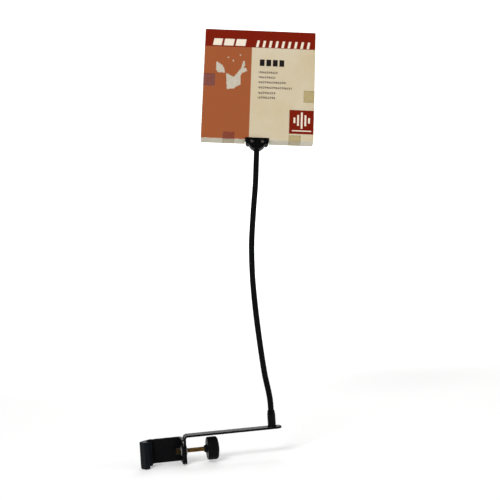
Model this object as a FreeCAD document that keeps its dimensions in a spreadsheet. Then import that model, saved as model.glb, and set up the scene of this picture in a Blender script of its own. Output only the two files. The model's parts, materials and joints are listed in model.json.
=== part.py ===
"""Pop filter on a clamped gooseneck, with its filter head kept in a square card box.

Frame: millimetres, +Z up along the microphone stand's tube, origin on the axis of the tube that
the clamp holds, at half the height of the clamp strap. +X points along the thumb screw towards the
arm's free end and +Y points from the open side of the clamp to the back of its strap.
The head, its bracket and the card box are drawn in the head's own frame (X across, Y to the back,
Z along the neck's last stretch, origin where the neck enters the bracket) and placed from there.
"""
import math
import os

import FreeCAD
import Part
import Sketcher

App = FreeCAD
Vector = App.Vector

SIZES = {
    # stand clamp
    "strap_height": 26.0, "strap_thick": 2.5, "jaw_radius": 9.0, "saddle_wall": 1.4,
    "web_back": 16.0, "ear_inner": 28.0, "ear_front": 8.0,
    "bevel_angle": 36.0, "lip_angle": 60.0, "lip_length": 12.6,
    "saddle_start": 104.0,
    "bend_inner": 1.2, "ear_corner": 2.0, "boot_wall": 1.3, "boot_cap": 1.2, "boot_corner": 1.1,
    "boot_overlap": 0.5,
    # arm
    "arm_thick": 2.2, "arm_width": 14.0, "arm_tip": 138.0, "arm_gap": 1.6, "arm_bend": 2.0,
    "neck_offset": 127.6,
    # thumb screw
    "screw_radius": 2.5, "running_gap": 0.05, "bush_radius": 4.0, "bush_collar": 5.0,
    "collar_thick": 1.0, "collar_bevel": 0.4, "tip_end": 21.7, "tip_length": 4.8,
    "tip_radius": 3.1, "tip_bevel": 0.8, "pin_radius": 1.5, "pin_socket": 3.2, "pin_length": 3.0,
    "pin_play": 0.15, "screw_lead": 0.5, "knob_start": 55.3, "knob_length": 12.4,
    "knob_radius": 12.2, "knob_socket": 9.0, "boss_length": 3.2, "boss_end_wall": 0.8,
    "boss_root_wall": 2.4, "back_rim_deep": 0.7, "back_rim_long": 1.4, "front_rim_long": 2.4,
    "front_rim_deep": 1.5, "dome_high": 0.9, "dome_deep": 5.5, "rim_round": 0.6,
    # neck
    "neck_radius": 3.2, "socket_gap": 0.3, "ferrule_height": 17.5, "ferrule_radius": 4.4,
    "ferrule_mouth": 3.7, "ferrule_slope": 4.5, "flange_wide": 0.5, "flange_high": 0.9,
    "flange_bevel": 0.4, "thread_play": 0.02, "neck_depth": 9.0, "last_run": 34.6,
    "fixing_radius": 2.0, "fixing_head": 3.9, "fixing_length": 8.0, "fixing_play": 0.1,
    "cross_long": 2.0, "cross_wide": 0.4, "cross_deep": 1.2,
    # filter head
    "hoop_outer": 58.0, "hoop_inner": 52.0, "hoop_thick": 2.8, "spacer_thick": 2.6,
    "mesh_thick": 0.4, "mesh_radius": 53.8, "head_mid": 5.7, "head_height": 76.5,
    "hoop_round": 1.0, "hoop_screw": 1.0, "hoop_screw_end": 0.6, "hoop_screw_head": 1.9,
    "hoop_screw_high": 0.9, "hoop_screw_round": 0.5, "tongue_width": 20.0, "tongue_low": 5.6,
    "tongue_overlap": 2.0, "sleeve_play": 0.1,
    "bracket_width": 25.6, "bracket_top": 13.1, "flange_low": 6.0, "round_radius": 10.5,
    "bracket_depth": 15.4, "rivet_spacing": 11.9, "rivet_level": 8.8, "rivet_radius": 1.1,
    "rivet_ball": 2.6, "rivet_sunk": 1.5, "bracket_round": 0.8, "sleeve_start": 1.0,
    "sleeve_radius": 4.0, "sleeve_length": 8.0,
    # card box
    "box_width": 126.0, "box_height": 131.0, "box_depth": 16.5, "card": 0.9, "box_low": 11.0,
    "box_play": 0.4, "tray_depth": 14.0, "notch_width": 27.0, "notch_top": 13.6,
    "tape_thick": 0.15,
}

# The neck's joints, from the ferrule up: places on its centre line.
NECK_ROUTE = [
    (127.6, 0.0, 41.0), (123.3, 0.7, 75.0), (120.5, 2.3, 110.0), (118.8, 5.0, 145.0),
    (118.6, 8.6, 180.0), (120.9, 13.2, 215.0), (126.2, 18.9, 250.0),
]
HEAD_PLACE = Vector(137.2, 32.6, 318.5)
HEAD_YAW, HEAD_LEAN, HEAD_ROLL = -9.0, 12.5, 6.0
HOOP_SCREWS = 6

# A cutter reaches this far past what it cuts, and two points nearer than NEAR are one point.
CLEAR = 10.0
NEAR = 0.01

doc = App.newDocument("PopFilter")
sheet = doc.addObject("Spreadsheet::Sheet", "Sizes")
for row, (alias, number) in enumerate(SIZES.items(), start=1):
    sheet.set(f"A{row}", alias)
    sheet.set(f"B{row}", str(number))
    sheet.setAlias(f"B{row}", alias)
doc.recompute()


class Size:
    """A length from the sheet: its number now, and the expression that keeps it bound."""

    def __init__(self, number, text):
        self.number = number
        self.text = text

    def _join(self, other, sign, result):
        other_text = other.text if isinstance(other, Size) else repr(float(other))
        return Size(result, f"({self.text} {sign} {other_text})")

    def __add__(self, other):
        return self._join(other, "+", self.number + plain(other))

    def __sub__(self, other):
        return self._join(other, "-", self.number - plain(other))

    def __mul__(self, other):
        return self._join(other, "*", self.number * plain(other))

    def __truediv__(self, other):
        return self._join(other, "/", self.number / plain(other))

    def __neg__(self):
        return Size(-self.number, f"(-1 * {self.text})")


def plain(size):
    """The number in a Size, or the number itself."""
    return size.number if isinstance(size, Size) else float(size)


def cell(alias):
    """The bound Size of a sheet cell."""
    return Size(float(sheet.get(alias)), f"Sizes.{alias}")


def mm(alias):
    """The plain number in a sheet cell."""
    return float(sheet.get(alias))


def bind(thing, prop, size):
    """Set a property of a document object from a Size and keep it bound."""
    setattr(thing, prop, plain(size))
    if isinstance(size, Size):
        thing.setExpression(prop, size.text)


# ------------------------------------------------------------------------------ PartDesign helpers
def make_body(label):
    """A new PartDesign body whose Label is the node's name."""
    body = doc.addObject("PartDesign::Body", label)
    body.Label = label
    return body


def sketch_on(body, plane, name, lift=0.0):
    """A sketch on one of the body's own origin planes, lifted along the plane's normal."""
    sketch = body.newObject("Sketcher::SketchObject", f"{body.Label}_{name}")
    support = next(f for f in body.Origin.OriginFeatures if f.Role == plane)
    sketch.AttachmentSupport = [(support, "")]
    sketch.MapMode = "FlatFace"
    sketch.AttachmentOffset = App.Placement(Vector(0, 0, plain(lift)), App.Rotation())
    if isinstance(lift, Size):
        sketch.setExpression("AttachmentOffset.Base.z", lift.text)
    return sketch


def pin_point(sketch, index, position, x, y):
    """Hold a sketch point at (x, y) from the origin, on an axis where a coordinate is zero."""
    for size, kind, axis in ((x, "DistanceX", -2), (y, "DistanceY", -1)):
        if abs(plain(size)) < 1e-9:
            sketch.addConstraint(Sketcher.Constraint("PointOnObject", index, position, axis))
            continue
        number = sketch.addConstraint(Sketcher.Constraint(kind, -1, 1, index, position, plain(size)))
        if isinstance(size, Size):
            sketch.setExpression(f"Constraints[{number}]", size.text)


def add_outline(sketch, points):
    """A closed outline of straight lines through (x, y) Sizes, every corner held by the sheet."""
    corners = [Vector(plain(x), plain(y), 0) for x, y in points]
    count = len(corners)
    first = None
    for i in range(count):
        number = sketch.addGeometry(Part.LineSegment(corners[i], corners[(i + 1) % count]), False)
        first = number if first is None else first
    for i in range(count):
        following = first + (i + 1) % count
        sketch.addConstraint(Sketcher.Constraint("Coincident", first + i, 2, following, 1))
    for i, (x, y) in enumerate(points):
        pin_point(sketch, first + i, 1, x, y)


def add_circle(sketch, x, y, radius):
    """A circle of a bound radius about a bound centre."""
    centre = Vector(plain(x), plain(y), 0)
    number = sketch.addGeometry(Part.Circle(centre, Vector(0, 0, 1), plain(radius)), False)
    held = sketch.addConstraint(Sketcher.Constraint("Radius", number, plain(radius)))
    if isinstance(radius, Size):
        sketch.setExpression(f"Constraints[{held}]", radius.text)
    pin_point(sketch, number, 3, x, y)


def rectangle(low_x, high_x, low_y, high_y):
    """The four corners of a rectangle."""
    return [(low_x, low_y), (high_x, low_y), (high_x, high_y), (low_x, high_y)]


def pad(body, sketch, length, middle=False, backwards=False):
    """Pad a sketch; the volume has to grow."""
    feature = body.newObject("PartDesign::Pad", f"{sketch.Name}_pad")
    feature.Profile = sketch
    feature.Midplane = middle
    feature.Reversed = backwards
    bind(feature, "Length", length)
    doc.recompute()
    return feature


def pocket(body, sketch, length=None, middle=False, backwards=False):
    """Cut a sketch out of the body, through everything when no length is given."""
    before = body.Shape.Volume
    feature = body.newObject("PartDesign::Pocket", f"{sketch.Name}_pocket")
    feature.Profile = sketch
    feature.Midplane = middle
    feature.Reversed = backwards
    if length is None:
        feature.Type = "ThroughAll"
    else:
        bind(feature, "Length", length)
    doc.recompute()
    if body.Shape.Volume >= before - 1e-6:
        raise RuntimeError(f"{feature.Name} cuts nothing")
    return feature


def revolve(body, sketch, axis):
    """Turn a profile a full turn about one of the sketch's own axes."""
    feature = body.newObject("PartDesign::Revolution", f"{sketch.Name}_turned")
    feature.Profile = sketch
    feature.ReferenceAxis = (sketch, [axis])
    feature.Angle = 360.0
    doc.recompute()
    return feature


def edge_names(feature, wanted):
    """Names of the feature's edges whose middle point and direction pass a test."""
    names = []
    for i, edge in enumerate(feature.Shape.Edges, start=1):
        middle = edge.valueAt((edge.FirstParameter + edge.LastParameter) / 2)
        if wanted(middle, edge):
            names.append(f"Edge{i}")
    if not names:
        raise RuntimeError(f"no edge of {feature.Name} is wanted")
    return names


def along(edge, direction):
    """True for a straight edge parallel to a direction."""
    if not isinstance(edge.Curve, Part.Line):
        return False
    return abs(abs(edge.Curve.Direction.dot(direction)) - 1.0) < 1e-6


def fillet(body, feature, names, radius):
    """Round some edges of the body's last feature."""
    rounded = body.newObject("PartDesign::Fillet", f"{feature.Name}_round")
    rounded.Base = (feature, names)
    bind(rounded, "Radius", radius)
    doc.recompute()
    return rounded


def plain_part(label, shape, placement=None):
    """A Part::Feature node with a shape worked out by Part's own functions."""
    part = doc.addObject("Part::Feature", label)
    part.Label = label
    part.Shape = shape
    if placement is not None:
        part.Placement = placement
    return part


# ------------------------------------------------------------------------------------ stand clamp
def unit(degrees):
    """A unit vector in the plan view, at an angle from +X."""
    return Vector(math.cos(math.radians(degrees)), math.sin(math.radians(degrees)), 0)


def strap_plan():
    """Outer and inner corners of the folded strap in plan, from the ear round to the lip.

    The fold's two flats both stand one saddle wall clear of the jaw's circle, so the circle's
    centre lies on the bisector of the fold, which fixes the fold's place.
    """
    bevel, lip, thick = mm("bevel_angle"), mm("lip_angle"), mm("strap_thick")
    half = math.radians((bevel + lip) / 2)
    bisector = unit((bevel - lip) / 2)
    clear = mm("jaw_radius") + mm("saddle_wall")
    fold_inner = bisector * (-clear / math.sin(half))
    fold_outer = bisector * (-(clear + thick) / math.sin(half))
    slope = math.tan(math.radians(bevel))
    web = mm("web_back")
    bend_outer = Vector(fold_outer.x + (web - fold_outer.y) / slope, web, 0)
    bend_inner = Vector(fold_inner.x + (web - thick - fold_inner.y) / slope, web - thick, 0)
    lip_outer = fold_outer + unit(-lip) * mm("lip_length")
    lip_inner = lip_outer + unit(90 - lip) * thick
    ear_in, front = mm("ear_inner"), -mm("ear_front")
    outer = [Vector(ear_in + thick, front, 0), Vector(ear_in + thick, web, 0), bend_outer,
             fold_outer, lip_outer]
    inner = [lip_inner, fold_inner, bend_inner, Vector(ear_in, web - thick, 0),
             Vector(ear_in, front, 0)]
    return outer, inner


def prism(corners, low, high):
    """A straight prism over a closed plan outline."""
    ring = [Vector(p.x, p.y, low) for p in corners]
    face = Part.Face(Part.makePolygon(ring + ring[:1]))
    return face.extrude(Vector(0, 0, high - low))


def upright_edges(shape, points):
    """The shape's vertical edges that stand on the given plan points."""
    found = []
    for edge in shape.Edges:
        if along(edge, Vector(0, 0, 1)):
            foot = edge.Vertexes[0].Point
            if any(math.hypot(foot.x - p.x, foot.y - p.y) < 1e-6 for p in points):
                found.append(edge)
    return found


def x_rod(radius, start, end):
    """A cylinder along the thumb screw's axis."""
    return Part.makeCylinder(radius, end - start, Vector(start, 0, 0), Vector(1, 0, 0))


def strap_shape():
    """The steel strap: ear, web, bevel and lip, with its bends and the bush's hole."""
    outer, inner = strap_plan()
    half = mm("strap_height") / 2
    shape = prism(outer + inner, -half, half)
    inside, outside = mm("bend_inner"), mm("bend_inner") + mm("strap_thick")
    shape = shape.makeFillet(outside, upright_edges(shape, outer[1:4]))
    shape = shape.makeFillet(inside, upright_edges(shape, inner[1:4]))
    ear_corners = [e for e in shape.Edges if along(e, Vector(1, 0, 0))
                   and abs(e.Vertexes[0].Point.y + mm("ear_front")) < 1e-6]
    shape = shape.makeFillet(mm("ear_corner"), ear_corners)
    return shape.cut(x_rod(mm("bush_radius"), mm("ear_inner") - CLEAR, mm("ear_inner") + CLEAR))


def build_clamp_strap():
    """The folded strap as a node."""
    plain_part("clamp_strap", strap_shape())


def build_jaw_saddle():
    """Rubber boot over the lip, thickened inside into a saddle that fits the stand's tube."""
    outer, inner = strap_plan()
    top = mm("strap_height") / 2 + mm("boot_cap")
    wall, thick = mm("boot_wall"), mm("strap_thick")
    lip_way = unit(-mm("lip_angle"))
    out_way = unit(-90 - mm("lip_angle"))
    start = outer[3] + lip_way * (thick + mm("bend_inner"))
    end = outer[4] + lip_way * wall
    inside = out_way * (thick + mm("saddle_wall") + mm("boot_overlap"))
    sleeve = [start + out_way * wall, end + out_way * wall, end - inside, start - inside]
    sleeve_shape = prism(sleeve, -top, top)
    sleeve_shape = sleeve_shape.makeFillet(mm("boot_corner"), upright_edges(sleeve_shape, sleeve[:2]))
    # Inside the fold the saddle ends on two lines that point at the tube's axis.
    clear = mm("jaw_radius") + mm("saddle_wall")
    off_square = math.radians(90 + mm("bevel_angle") - mm("saddle_start"))
    far = unit(mm("saddle_start")) * (clear / math.cos(off_square))
    saddle = [inner[1], inner[0], Vector(0, 0, 0), far]
    boot = sleeve_shape.fuse(prism(saddle, -top, top))
    tube = Part.makeCylinder(mm("jaw_radius"), 4 * top, Vector(0, 0, -2 * top))
    boot = boot.cut(tube).cut(strap_shape()).removeSplitter()
    plain_part("jaw_saddle", max(boot.Solids, key=lambda solid: solid.Volume))


def build_arm_bar():
    """Flat steel bar: a leg down the outside of the ear, a bend, and the run to its round tip."""
    body = make_body("arm_bar")
    thick, half = cell("arm_thick"), cell("strap_height") / 2
    face = cell("ear_inner") + cell("strap_thick")
    low = half + cell("arm_gap")
    sketch = sketch_on(body, "XZ_Plane", "side")
    add_outline(sketch, [(face, -half), (face + thick, -half), (face + thick, low),
                         (cell("arm_tip"), low), (cell("arm_tip"), low + thick),
                         (face, low + thick)])
    bar = pad(body, sketch, cell("arm_width"), middle=True)
    upright, across = Vector(0, 0, 1), Vector(0, 1, 0)
    tip = edge_names(bar, lambda m, e: along(e, upright) and m.x > mm("arm_tip") - NEAR)
    bar = fillet(body, bar, tip, cell("arm_width") / 2 - NEAR)
    outer = edge_names(bar, lambda m, e: along(e, across) and m.x < plain(face) + NEAR
                       and m.z > plain(low))
    bar = fillet(body, bar, outer, cell("arm_bend") + thick)
    inner = edge_names(bar, lambda m, e: along(e, across) and m.z > 0
                       and abs(m.x - plain(face + thick)) < NEAR and abs(m.z - plain(low)) < NEAR)
    fillet(body, bar, inner, cell("arm_bend"))
    bush_hole = sketch_on(body, "YZ_Plane", "bush_hole")
    add_circle(bush_hole, 0, 0, cell("bush_radius"))
    pocket(body, bush_hole, cell("ear_inner") * 4, middle=True)
    hole = sketch_on(body, "XZ_Plane", "fixing_hole")
    # A countersunk hole from below, turned about its own upright edge.
    axis_x, radius, head = cell("neck_offset"), cell("fixing_radius"), cell("fixing_head")
    play = cell("fixing_play")
    add_outline(hole, [(axis_x, low - 1.0), (axis_x + head + play, low - 1.0),
                       (axis_x + head + play, low), (axis_x + radius + play, low + head - radius),
                       (axis_x + radius + play, low + thick + 1.0), (axis_x, low + thick + 1.0)])
    groove = body.newObject("PartDesign::Groove", "arm_bar_countersink")
    groove.Profile = hole
    groove.ReferenceAxis = (hole, ["Edge6"])
    groove.Angle = 360.0
    doc.recompute()


def build_threaded_bush():
    """Swaged bush that holds arm and ear together and carries the screw's thread."""
    ear, collar = mm("ear_inner"), mm("collar_thick")
    outside = ear + mm("strap_thick") + mm("arm_thick")
    ends = (ear - collar, outside + collar)
    body = x_rod(mm("bush_radius"), ear - collar, outside + collar)
    inner_collar = x_rod(mm("bush_collar"), ear - collar, ear)
    outer_collar = x_rod(mm("bush_collar"), outside, outside + collar)
    bush = body.fuse([inner_collar, outer_collar]).removeSplitter()
    rims = [e for e in bush.Edges if isinstance(e.Curve, Part.Circle)
            and abs(e.Curve.Radius - mm("bush_collar")) < 1e-6
            and min(abs(e.Curve.Center.x - end) for end in ends) < NEAR]
    bush = bush.makeChamfer(mm("collar_bevel"), rims)
    bore = x_rod(mm("screw_radius") + mm("running_gap"), ear - CLEAR, outside + CLEAR)
    plain_part("threaded_bush", bush.cut(bore))


# ------------------------------------------------------------------------------------ thumb screw
def build_pressure_tip():
    """Turned cap that presses on the stand and lets the screw turn inside it."""
    body = make_body("pressure_tip")
    sketch = sketch_on(body, "XZ_Plane", "profile")
    start, length = cell("tip_end"), cell("tip_length")
    pin, bevel = cell("pin_radius") + cell("running_gap"), cell("tip_bevel")
    socket = start + length - cell("pin_socket")
    add_outline(sketch, [(start, 0), (start, cell("tip_radius") - bevel),
                         (start + bevel, cell("tip_radius")), (start + length, cell("tip_radius")),
                         (start + length, pin), (socket, pin), (socket, 0)])
    revolve(body, sketch, "H_Axis")


def build_thumb_screw():
    """M5 screw: a pin that turns in the cap, the threaded shank and the end moulded into the knob."""
    body = make_body("thumb_screw")
    sketch = sketch_on(body, "XZ_Plane", "profile")
    shoulder = cell("tip_end") + cell("tip_length") + cell("pin_play")
    pin_end = shoulder - cell("pin_length")
    lead = cell("screw_lead")
    end = cell("knob_start") + cell("knob_socket")
    add_outline(sketch, [(pin_end, 0), (pin_end, cell("pin_radius")), (shoulder, cell("pin_radius")),
                         (shoulder, cell("screw_radius") - lead),
                         (shoulder + lead, cell("screw_radius")),
                         (end, cell("screw_radius")), (end, 0)])
    revolve(body, sketch, "H_Axis")


def build_knob():
    """Round moulded knob with soft rims, a slightly domed face and a tapered boss."""
    body = make_body("knob")
    sketch = sketch_on(body, "XZ_Plane", "profile")
    start, radius = cell("knob_start"), cell("knob_radius")
    end = start + cell("knob_length")
    shank = cell("screw_radius")
    boss, socket = start - cell("boss_length"), start + cell("knob_socket")
    add_outline(sketch, [(boss, shank), (boss, shank + cell("boss_end_wall")),
                         (start, shank + cell("boss_root_wall")),
                         (start, radius - cell("back_rim_deep")),
                         (start + cell("back_rim_long"), radius),
                         (end - cell("front_rim_long"), radius),
                         (end - cell("dome_high"), radius - cell("front_rim_deep")),
                         (end, radius - cell("dome_deep")), (end, 0), (socket, 0),
                         (socket, shank)])
    turned = revolve(body, sketch, "H_Axis")
    rims = edge_names(turned, lambda m, e: isinstance(e.Curve, Part.Circle)
                      and e.Curve.Radius > mm("knob_radius") - mm("front_rim_deep") - NEAR)
    fillet(body, turned, rims, cell("rim_round"))


# ------------------------------------------------------------------------------------------- neck
def arm_top():
    """Height of the arm's upper face."""
    return mm("strap_height") / 2 + mm("arm_gap") + mm("arm_thick")


def build_neck_ferrule():
    """Turned foot of the neck: tapped from below, bored from above, with a sloping shoulder."""
    body = make_body("neck_ferrule")
    sketch = sketch_on(body, "XZ_Plane", "profile")
    radius, mouth = cell("ferrule_radius"), cell("ferrule_mouth")
    height, slope = cell("ferrule_height"), cell("ferrule_slope")
    tapped, bore = cell("fixing_radius") + cell("thread_play"), cell("neck_radius")
    floor = height - cell("neck_depth")
    flange, flange_top = radius + cell("flange_wide"), cell("flange_high")
    add_outline(sketch, [(tapped, 0), (flange, 0), (flange, flange_top),
                         (radius, flange_top + cell("flange_bevel")), (radius, height - slope),
                         (mouth, height), (bore, height), (bore, floor), (tapped, floor)])
    revolve(body, sketch, "V_Axis")
    body.Placement = App.Placement(Vector(mm("neck_offset"), 0, arm_top()), App.Rotation())


def build_ferrule_screw():
    """Countersunk screw, flush under the arm, with a crossed drive."""
    body = make_body("ferrule_screw")
    sketch = sketch_on(body, "XZ_Plane", "profile")
    head, radius = cell("fixing_head"), cell("fixing_radius")
    add_outline(sketch, [(0, 0), (head, 0), (radius, head - radius), (radius, cell("fixing_length")),
                         (0, cell("fixing_length"))])
    revolve(body, sketch, "V_Axis")
    half_long, half_wide = cell("cross_long"), cell("cross_wide")
    cross = sketch_on(body, "XY_Plane", "cross")
    add_outline(cross, rectangle(-half_long, half_long, -half_wide, half_wide))
    pocket(body, cross, cell("cross_deep"), backwards=True)
    other = sketch_on(body, "XY_Plane", "other_cross")
    add_outline(other, rectangle(-half_wide, half_wide, -half_long, half_long))
    pocket(body, other, cell("cross_deep"), backwards=True)
    low = mm("strap_height") / 2 + mm("arm_gap")
    body.Placement = App.Placement(Vector(mm("neck_offset"), 0, low), App.Rotation())


def link_shape(length, socket, ball):
    """One stiff length of neck along +Z.

    Its lower end is hollowed as a socket round the joint below, its upper end is a ball about the
    joint above, so two neighbours never meet however far the joint between them turns.
    """
    radius = mm("neck_radius")
    shape = Part.makeCylinder(radius, length)
    if ball:
        shape = shape.fuse(Part.makeSphere(radius, Vector(0, 0, length))).removeSplitter()
    if socket:
        shape = shape.cut(Part.makeSphere(radius + mm("socket_gap"), Vector(0, 0, 0)))
    return shape


def turned_to(start, end):
    """Placement that carries the +Z axis onto the line from start to end."""
    return App.Placement(start, App.Rotation(Vector(0, 0, 1), end - start))


def head_placement():
    """The head's frame: yaw about Z, lean to the back, then roll in its own plane."""
    turn = App.Rotation(Vector(0, 0, 1), HEAD_YAW)
    turn = turn.multiply(App.Rotation(Vector(1, 0, 0), -HEAD_LEAN))
    turn = turn.multiply(App.Rotation(Vector(0, 1, 0), HEAD_ROLL))
    return App.Placement(HEAD_PLACE, turn)


def build_neck():
    """The neck: a stub held by the ferrule, then links, the last one held by the head."""
    place = head_placement()
    last = place.multVec(Vector(0, 0, -mm("last_run")))
    joints = [Vector(*point) for point in NECK_ROUTE] + [last]
    stub_low = Vector(mm("neck_offset"), 0, arm_top() + mm("ferrule_height") - mm("neck_depth"))
    stub = link_shape((joints[0] - stub_low).Length, False, True)
    plain_part("neck_root", stub, turned_to(stub_low, joints[0]))
    for i in range(len(joints) - 1):
        length = (joints[i + 1] - joints[i]).Length
        link = link_shape(length, True, True)
        plain_part(f"neck_{i + 1}", link, turned_to(joints[i], joints[i + 1]))
    inside = mm("sleeve_start") + mm("sleeve_length")
    held = link_shape(mm("last_run") + inside, True, False)
    down = App.Placement(Vector(0, 0, -mm("last_run")), App.Rotation())
    plain_part(f"neck_{len(joints)}", held, place.multiply(down))
    for joint in joints:
        print("neck joint", [round(v, 3) for v in joint])


# ------------------------------------------------------------------------------------ filter head
def y_disc(radius, low, high):
    """A disc about the head's middle, between two depths."""
    return Part.makeCylinder(radius, high - low, Vector(0, low, mm("head_height")), Vector(0, 1, 0))


def y_box(low_x, high_x, low_y, high_y, low_z, high_z):
    """A block between two corners in the head's frame."""
    return Part.makeBox(high_x - low_x, high_y - low_y, high_z - low_z, Vector(low_x, low_y, low_z))


def head_levels():
    """Depths, front to back: front hoop, front mesh, spacer, back mesh, back hoop."""
    half = mm("spacer_thick") / 2
    mid, mesh, hoop = mm("head_mid"), mm("mesh_thick"), mm("hoop_thick")
    return [mid - half - mesh - hoop, mid - half - mesh, mid - half, mid + half, mid + half + mesh,
            mid + half + mesh + hoop]


def hoop_body(label, width, low, high, place):
    """A flat hoop: two circles padded from one depth to another."""
    body = make_body(label)
    sketch = sketch_on(body, "XZ_Plane", "ring", lift=-high)
    add_circle(sketch, 0, cell("head_height"), cell("hoop_outer"))
    add_circle(sketch, 0, cell("head_height"), cell("hoop_outer") - width)
    ring = pad(body, sketch, high - low)
    body.Placement = place
    return body, ring


def build_hoops(place):
    """Two outer hoops with a rounded outside edge, which clamp the meshes on the spacer."""
    levels = head_levels()
    width = cell("hoop_outer") - cell("hoop_inner")
    for label, low, high in (("hoop_front", levels[0], levels[1]), ("hoop_rear", levels[4], levels[5])):
        body, ring = hoop_body(label, width, low, high, place)
        face = low if label == "hoop_front" else high
        outside = edge_names(ring, lambda m, e, face=face: isinstance(e.Curve, Part.Circle)
                             and e.Curve.Radius > mm("hoop_outer") - NEAR
                             and abs(e.Curve.Center.y - face) < NEAR)
        fillet(body, ring, outside, cell("hoop_round"))
        screws = sketch_on(body, "XZ_Plane", "holes", lift=-high - 1)
        for x, z in screw_places():
            add_circle(screws, x, z, cell("hoop_screw"))
        pocket(body, screws, high - low + 2, backwards=True)


def screw_places():
    """Places of the small screws round the hoops, in the head's plane."""
    middle = (mm("hoop_outer") + mm("hoop_inner")) / 2
    step = 360.0 / HOOP_SCREWS
    spots = [unit(step / 2 + i * step) * middle for i in range(HOOP_SCREWS)]
    return [(spot.x, mm("head_height") + spot.y) for spot in spots]


def small_holes(shape, low, high):
    """Cut the hoop screws' holes through a shape."""
    holes = [Part.makeCylinder(mm("hoop_screw"), high - low, Vector(x, low, z), Vector(0, 1, 0))
             for x, z in screw_places()]
    return shape.cut(holes)


def build_spacer(place):
    """The hoop between the meshes, with the tongue that the bracket grips."""
    levels = head_levels()
    low, high = levels[2], levels[3]
    half = mm("tongue_width") / 2
    ring = y_disc(mm("hoop_outer"), low, high)
    tongue_top = mm("head_height") - mm("hoop_inner") - mm("tongue_overlap")
    tongue = y_box(-half, half, low, high, mm("tongue_low"), tongue_top)
    shape = ring.fuse(tongue).cut(y_disc(mm("hoop_inner"), low - 1, high + 1)).removeSplitter()
    play = mm("sleeve_play")
    wide = mm("sleeve_radius") + play
    slot_top = mm("sleeve_start") + mm("sleeve_length") + play
    slot = y_box(-wide, wide, low - 1, high + 1, mm("tongue_low") - 1, slot_top)
    shape = shape.cut(slot).cut(rivet_rods(mm("rivet_radius"), low - 1, high + 1))
    plain_part("hoop_spacer", small_holes(shape, low - 1, high + 1), place)


def build_meshes(place):
    """The two stretched layers of mesh, as thin discs that end inside the ring of screws."""
    levels = head_levels()
    for label, low, high in (("mesh_front", levels[1], levels[2]), ("mesh_rear", levels[3], levels[4])):
        plain_part(label, y_disc(mm("mesh_radius"), low, high), place)


def build_hoop_screws(place):
    """Small screws through the hoops from the back."""
    levels = head_levels()
    start, face, high = levels[0] + mm("hoop_screw_end"), levels[5], mm("hoop_screw_high")
    solids = []
    for x, z in screw_places():
        shank = Part.makeCylinder(mm("hoop_screw"), face - start, Vector(x, start, z), Vector(0, 1, 0))
        top = Part.makeCylinder(mm("hoop_screw_head"), high, Vector(x, face, z), Vector(0, 1, 0))
        rim = [e for e in top.Edges if isinstance(e.Curve, Part.Circle)
               and e.Curve.Center.y > face + high - NEAR]
        rounded = top.makeFillet(mm("hoop_screw_round"), rim)
        solids.append(shank.fuse(rounded).removeSplitter())
    plain_part("hoop_screws", Part.makeCompound(solids), place)


def rivet_rods(radius, low, high):
    """The two rivets' shanks, as cylinders between two depths."""
    half, level = mm("rivet_spacing") / 2, mm("rivet_level")
    return [Part.makeCylinder(radius, high - low, Vector(x, low, level), Vector(0, 1, 0))
            for x in (-half, half)]


def bracket_block(low, high):
    """The bracket's outline: a flange above a half-round, between two depths."""
    half, flange = mm("bracket_width") / 2, mm("flange_low")
    block = y_box(-half, half, low, high, flange, mm("bracket_top"))
    centre = mm("round_radius")
    lobe = Part.makeCylinder(mm("round_radius"), high - low, Vector(0, low, centre), Vector(0, 1, 0))
    lobe = lobe.common(y_box(-half, half, low, high, 0, flange + 0.5))
    return block.fuse(lobe).removeSplitter()


def build_bracket(place):
    """Two moulded half shells that close on the tongue and on the neck's sleeve."""
    mid, depth = mm("head_mid"), mm("bracket_depth")
    levels = head_levels()
    half = mm("tongue_width") / 2
    tongue = y_box(-half, half, levels[2], levels[3], mm("tongue_low"), 60)
    start = mm("sleeve_start")
    sleeve = Part.makeCylinder(mm("sleeve_radius"), mm("sleeve_length"), Vector(0, mid, start))
    neck = Part.makeCylinder(mm("neck_radius"), 3 * CLEAR, Vector(0, mid, -CLEAR))
    rods = rivet_rods(mm("rivet_radius"), mid - depth, mid + depth)
    cutters = [tongue, sleeve, neck] + rods
    halves = {"bracket_front": (mid - depth / 2, mid), "bracket_rear": (mid, mid + depth / 2)}
    for label, (low, high) in halves.items():
        shell = bracket_block(low, high)
        face = low if label == "bracket_front" else high
        rim = [e for e in shell.Edges
               if abs(e.BoundBox.YMin - face) < 1e-6 and abs(e.BoundBox.YMax - face) < 1e-6]
        shell = shell.makeFillet(mm("bracket_round"), rim)
        plain_part(label, shell.cut(cutters).removeSplitter(), place)


def build_bracket_rivets(place):
    """Two round-headed rivets through both shells and the tongue."""
    mid, depth = mm("head_mid"), mm("bracket_depth")
    low, high = mid - depth / 2, mid + depth / 2
    ball_radius = mm("rivet_ball")
    high_dome = ball_radius - mm("rivet_sunk")
    solids = []
    for rod in rivet_rods(mm("rivet_radius"), low - high_dome / 2, high + high_dome / 2):
        x = rod.BoundBox.Center.x
        heads = []
        for face, way in ((low, -1), (high, 1)):
            middle = Vector(x, face - way * mm("rivet_sunk"), mm("rivet_level"))
            ball = Part.makeSphere(ball_radius, middle)
            near, far = sorted((face, face + way * ball_radius))
            slab = y_box(x - CLEAR, x + CLEAR, near, far, -CLEAR, 3 * CLEAR)
            heads.append(ball.common(slab))
        solids.append(rod.fuse(heads).removeSplitter())
    plain_part("bracket_rivets", Part.makeCompound(solids), place)


def build_neck_sleeve(place):
    """Crimped sleeve on the neck's upper end, caught in the bracket."""
    mid = mm("head_mid")
    foot = Vector(0, mid, mm("sleeve_start"))
    sleeve = Part.makeCylinder(mm("sleeve_radius"), mm("sleeve_length"), foot)
    bore = Part.makeCylinder(mm("neck_radius"), 3 * CLEAR, Vector(0, mid, -CLEAR))
    plain_part("neck_sleeve", sleeve.cut(bore), place)


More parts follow.
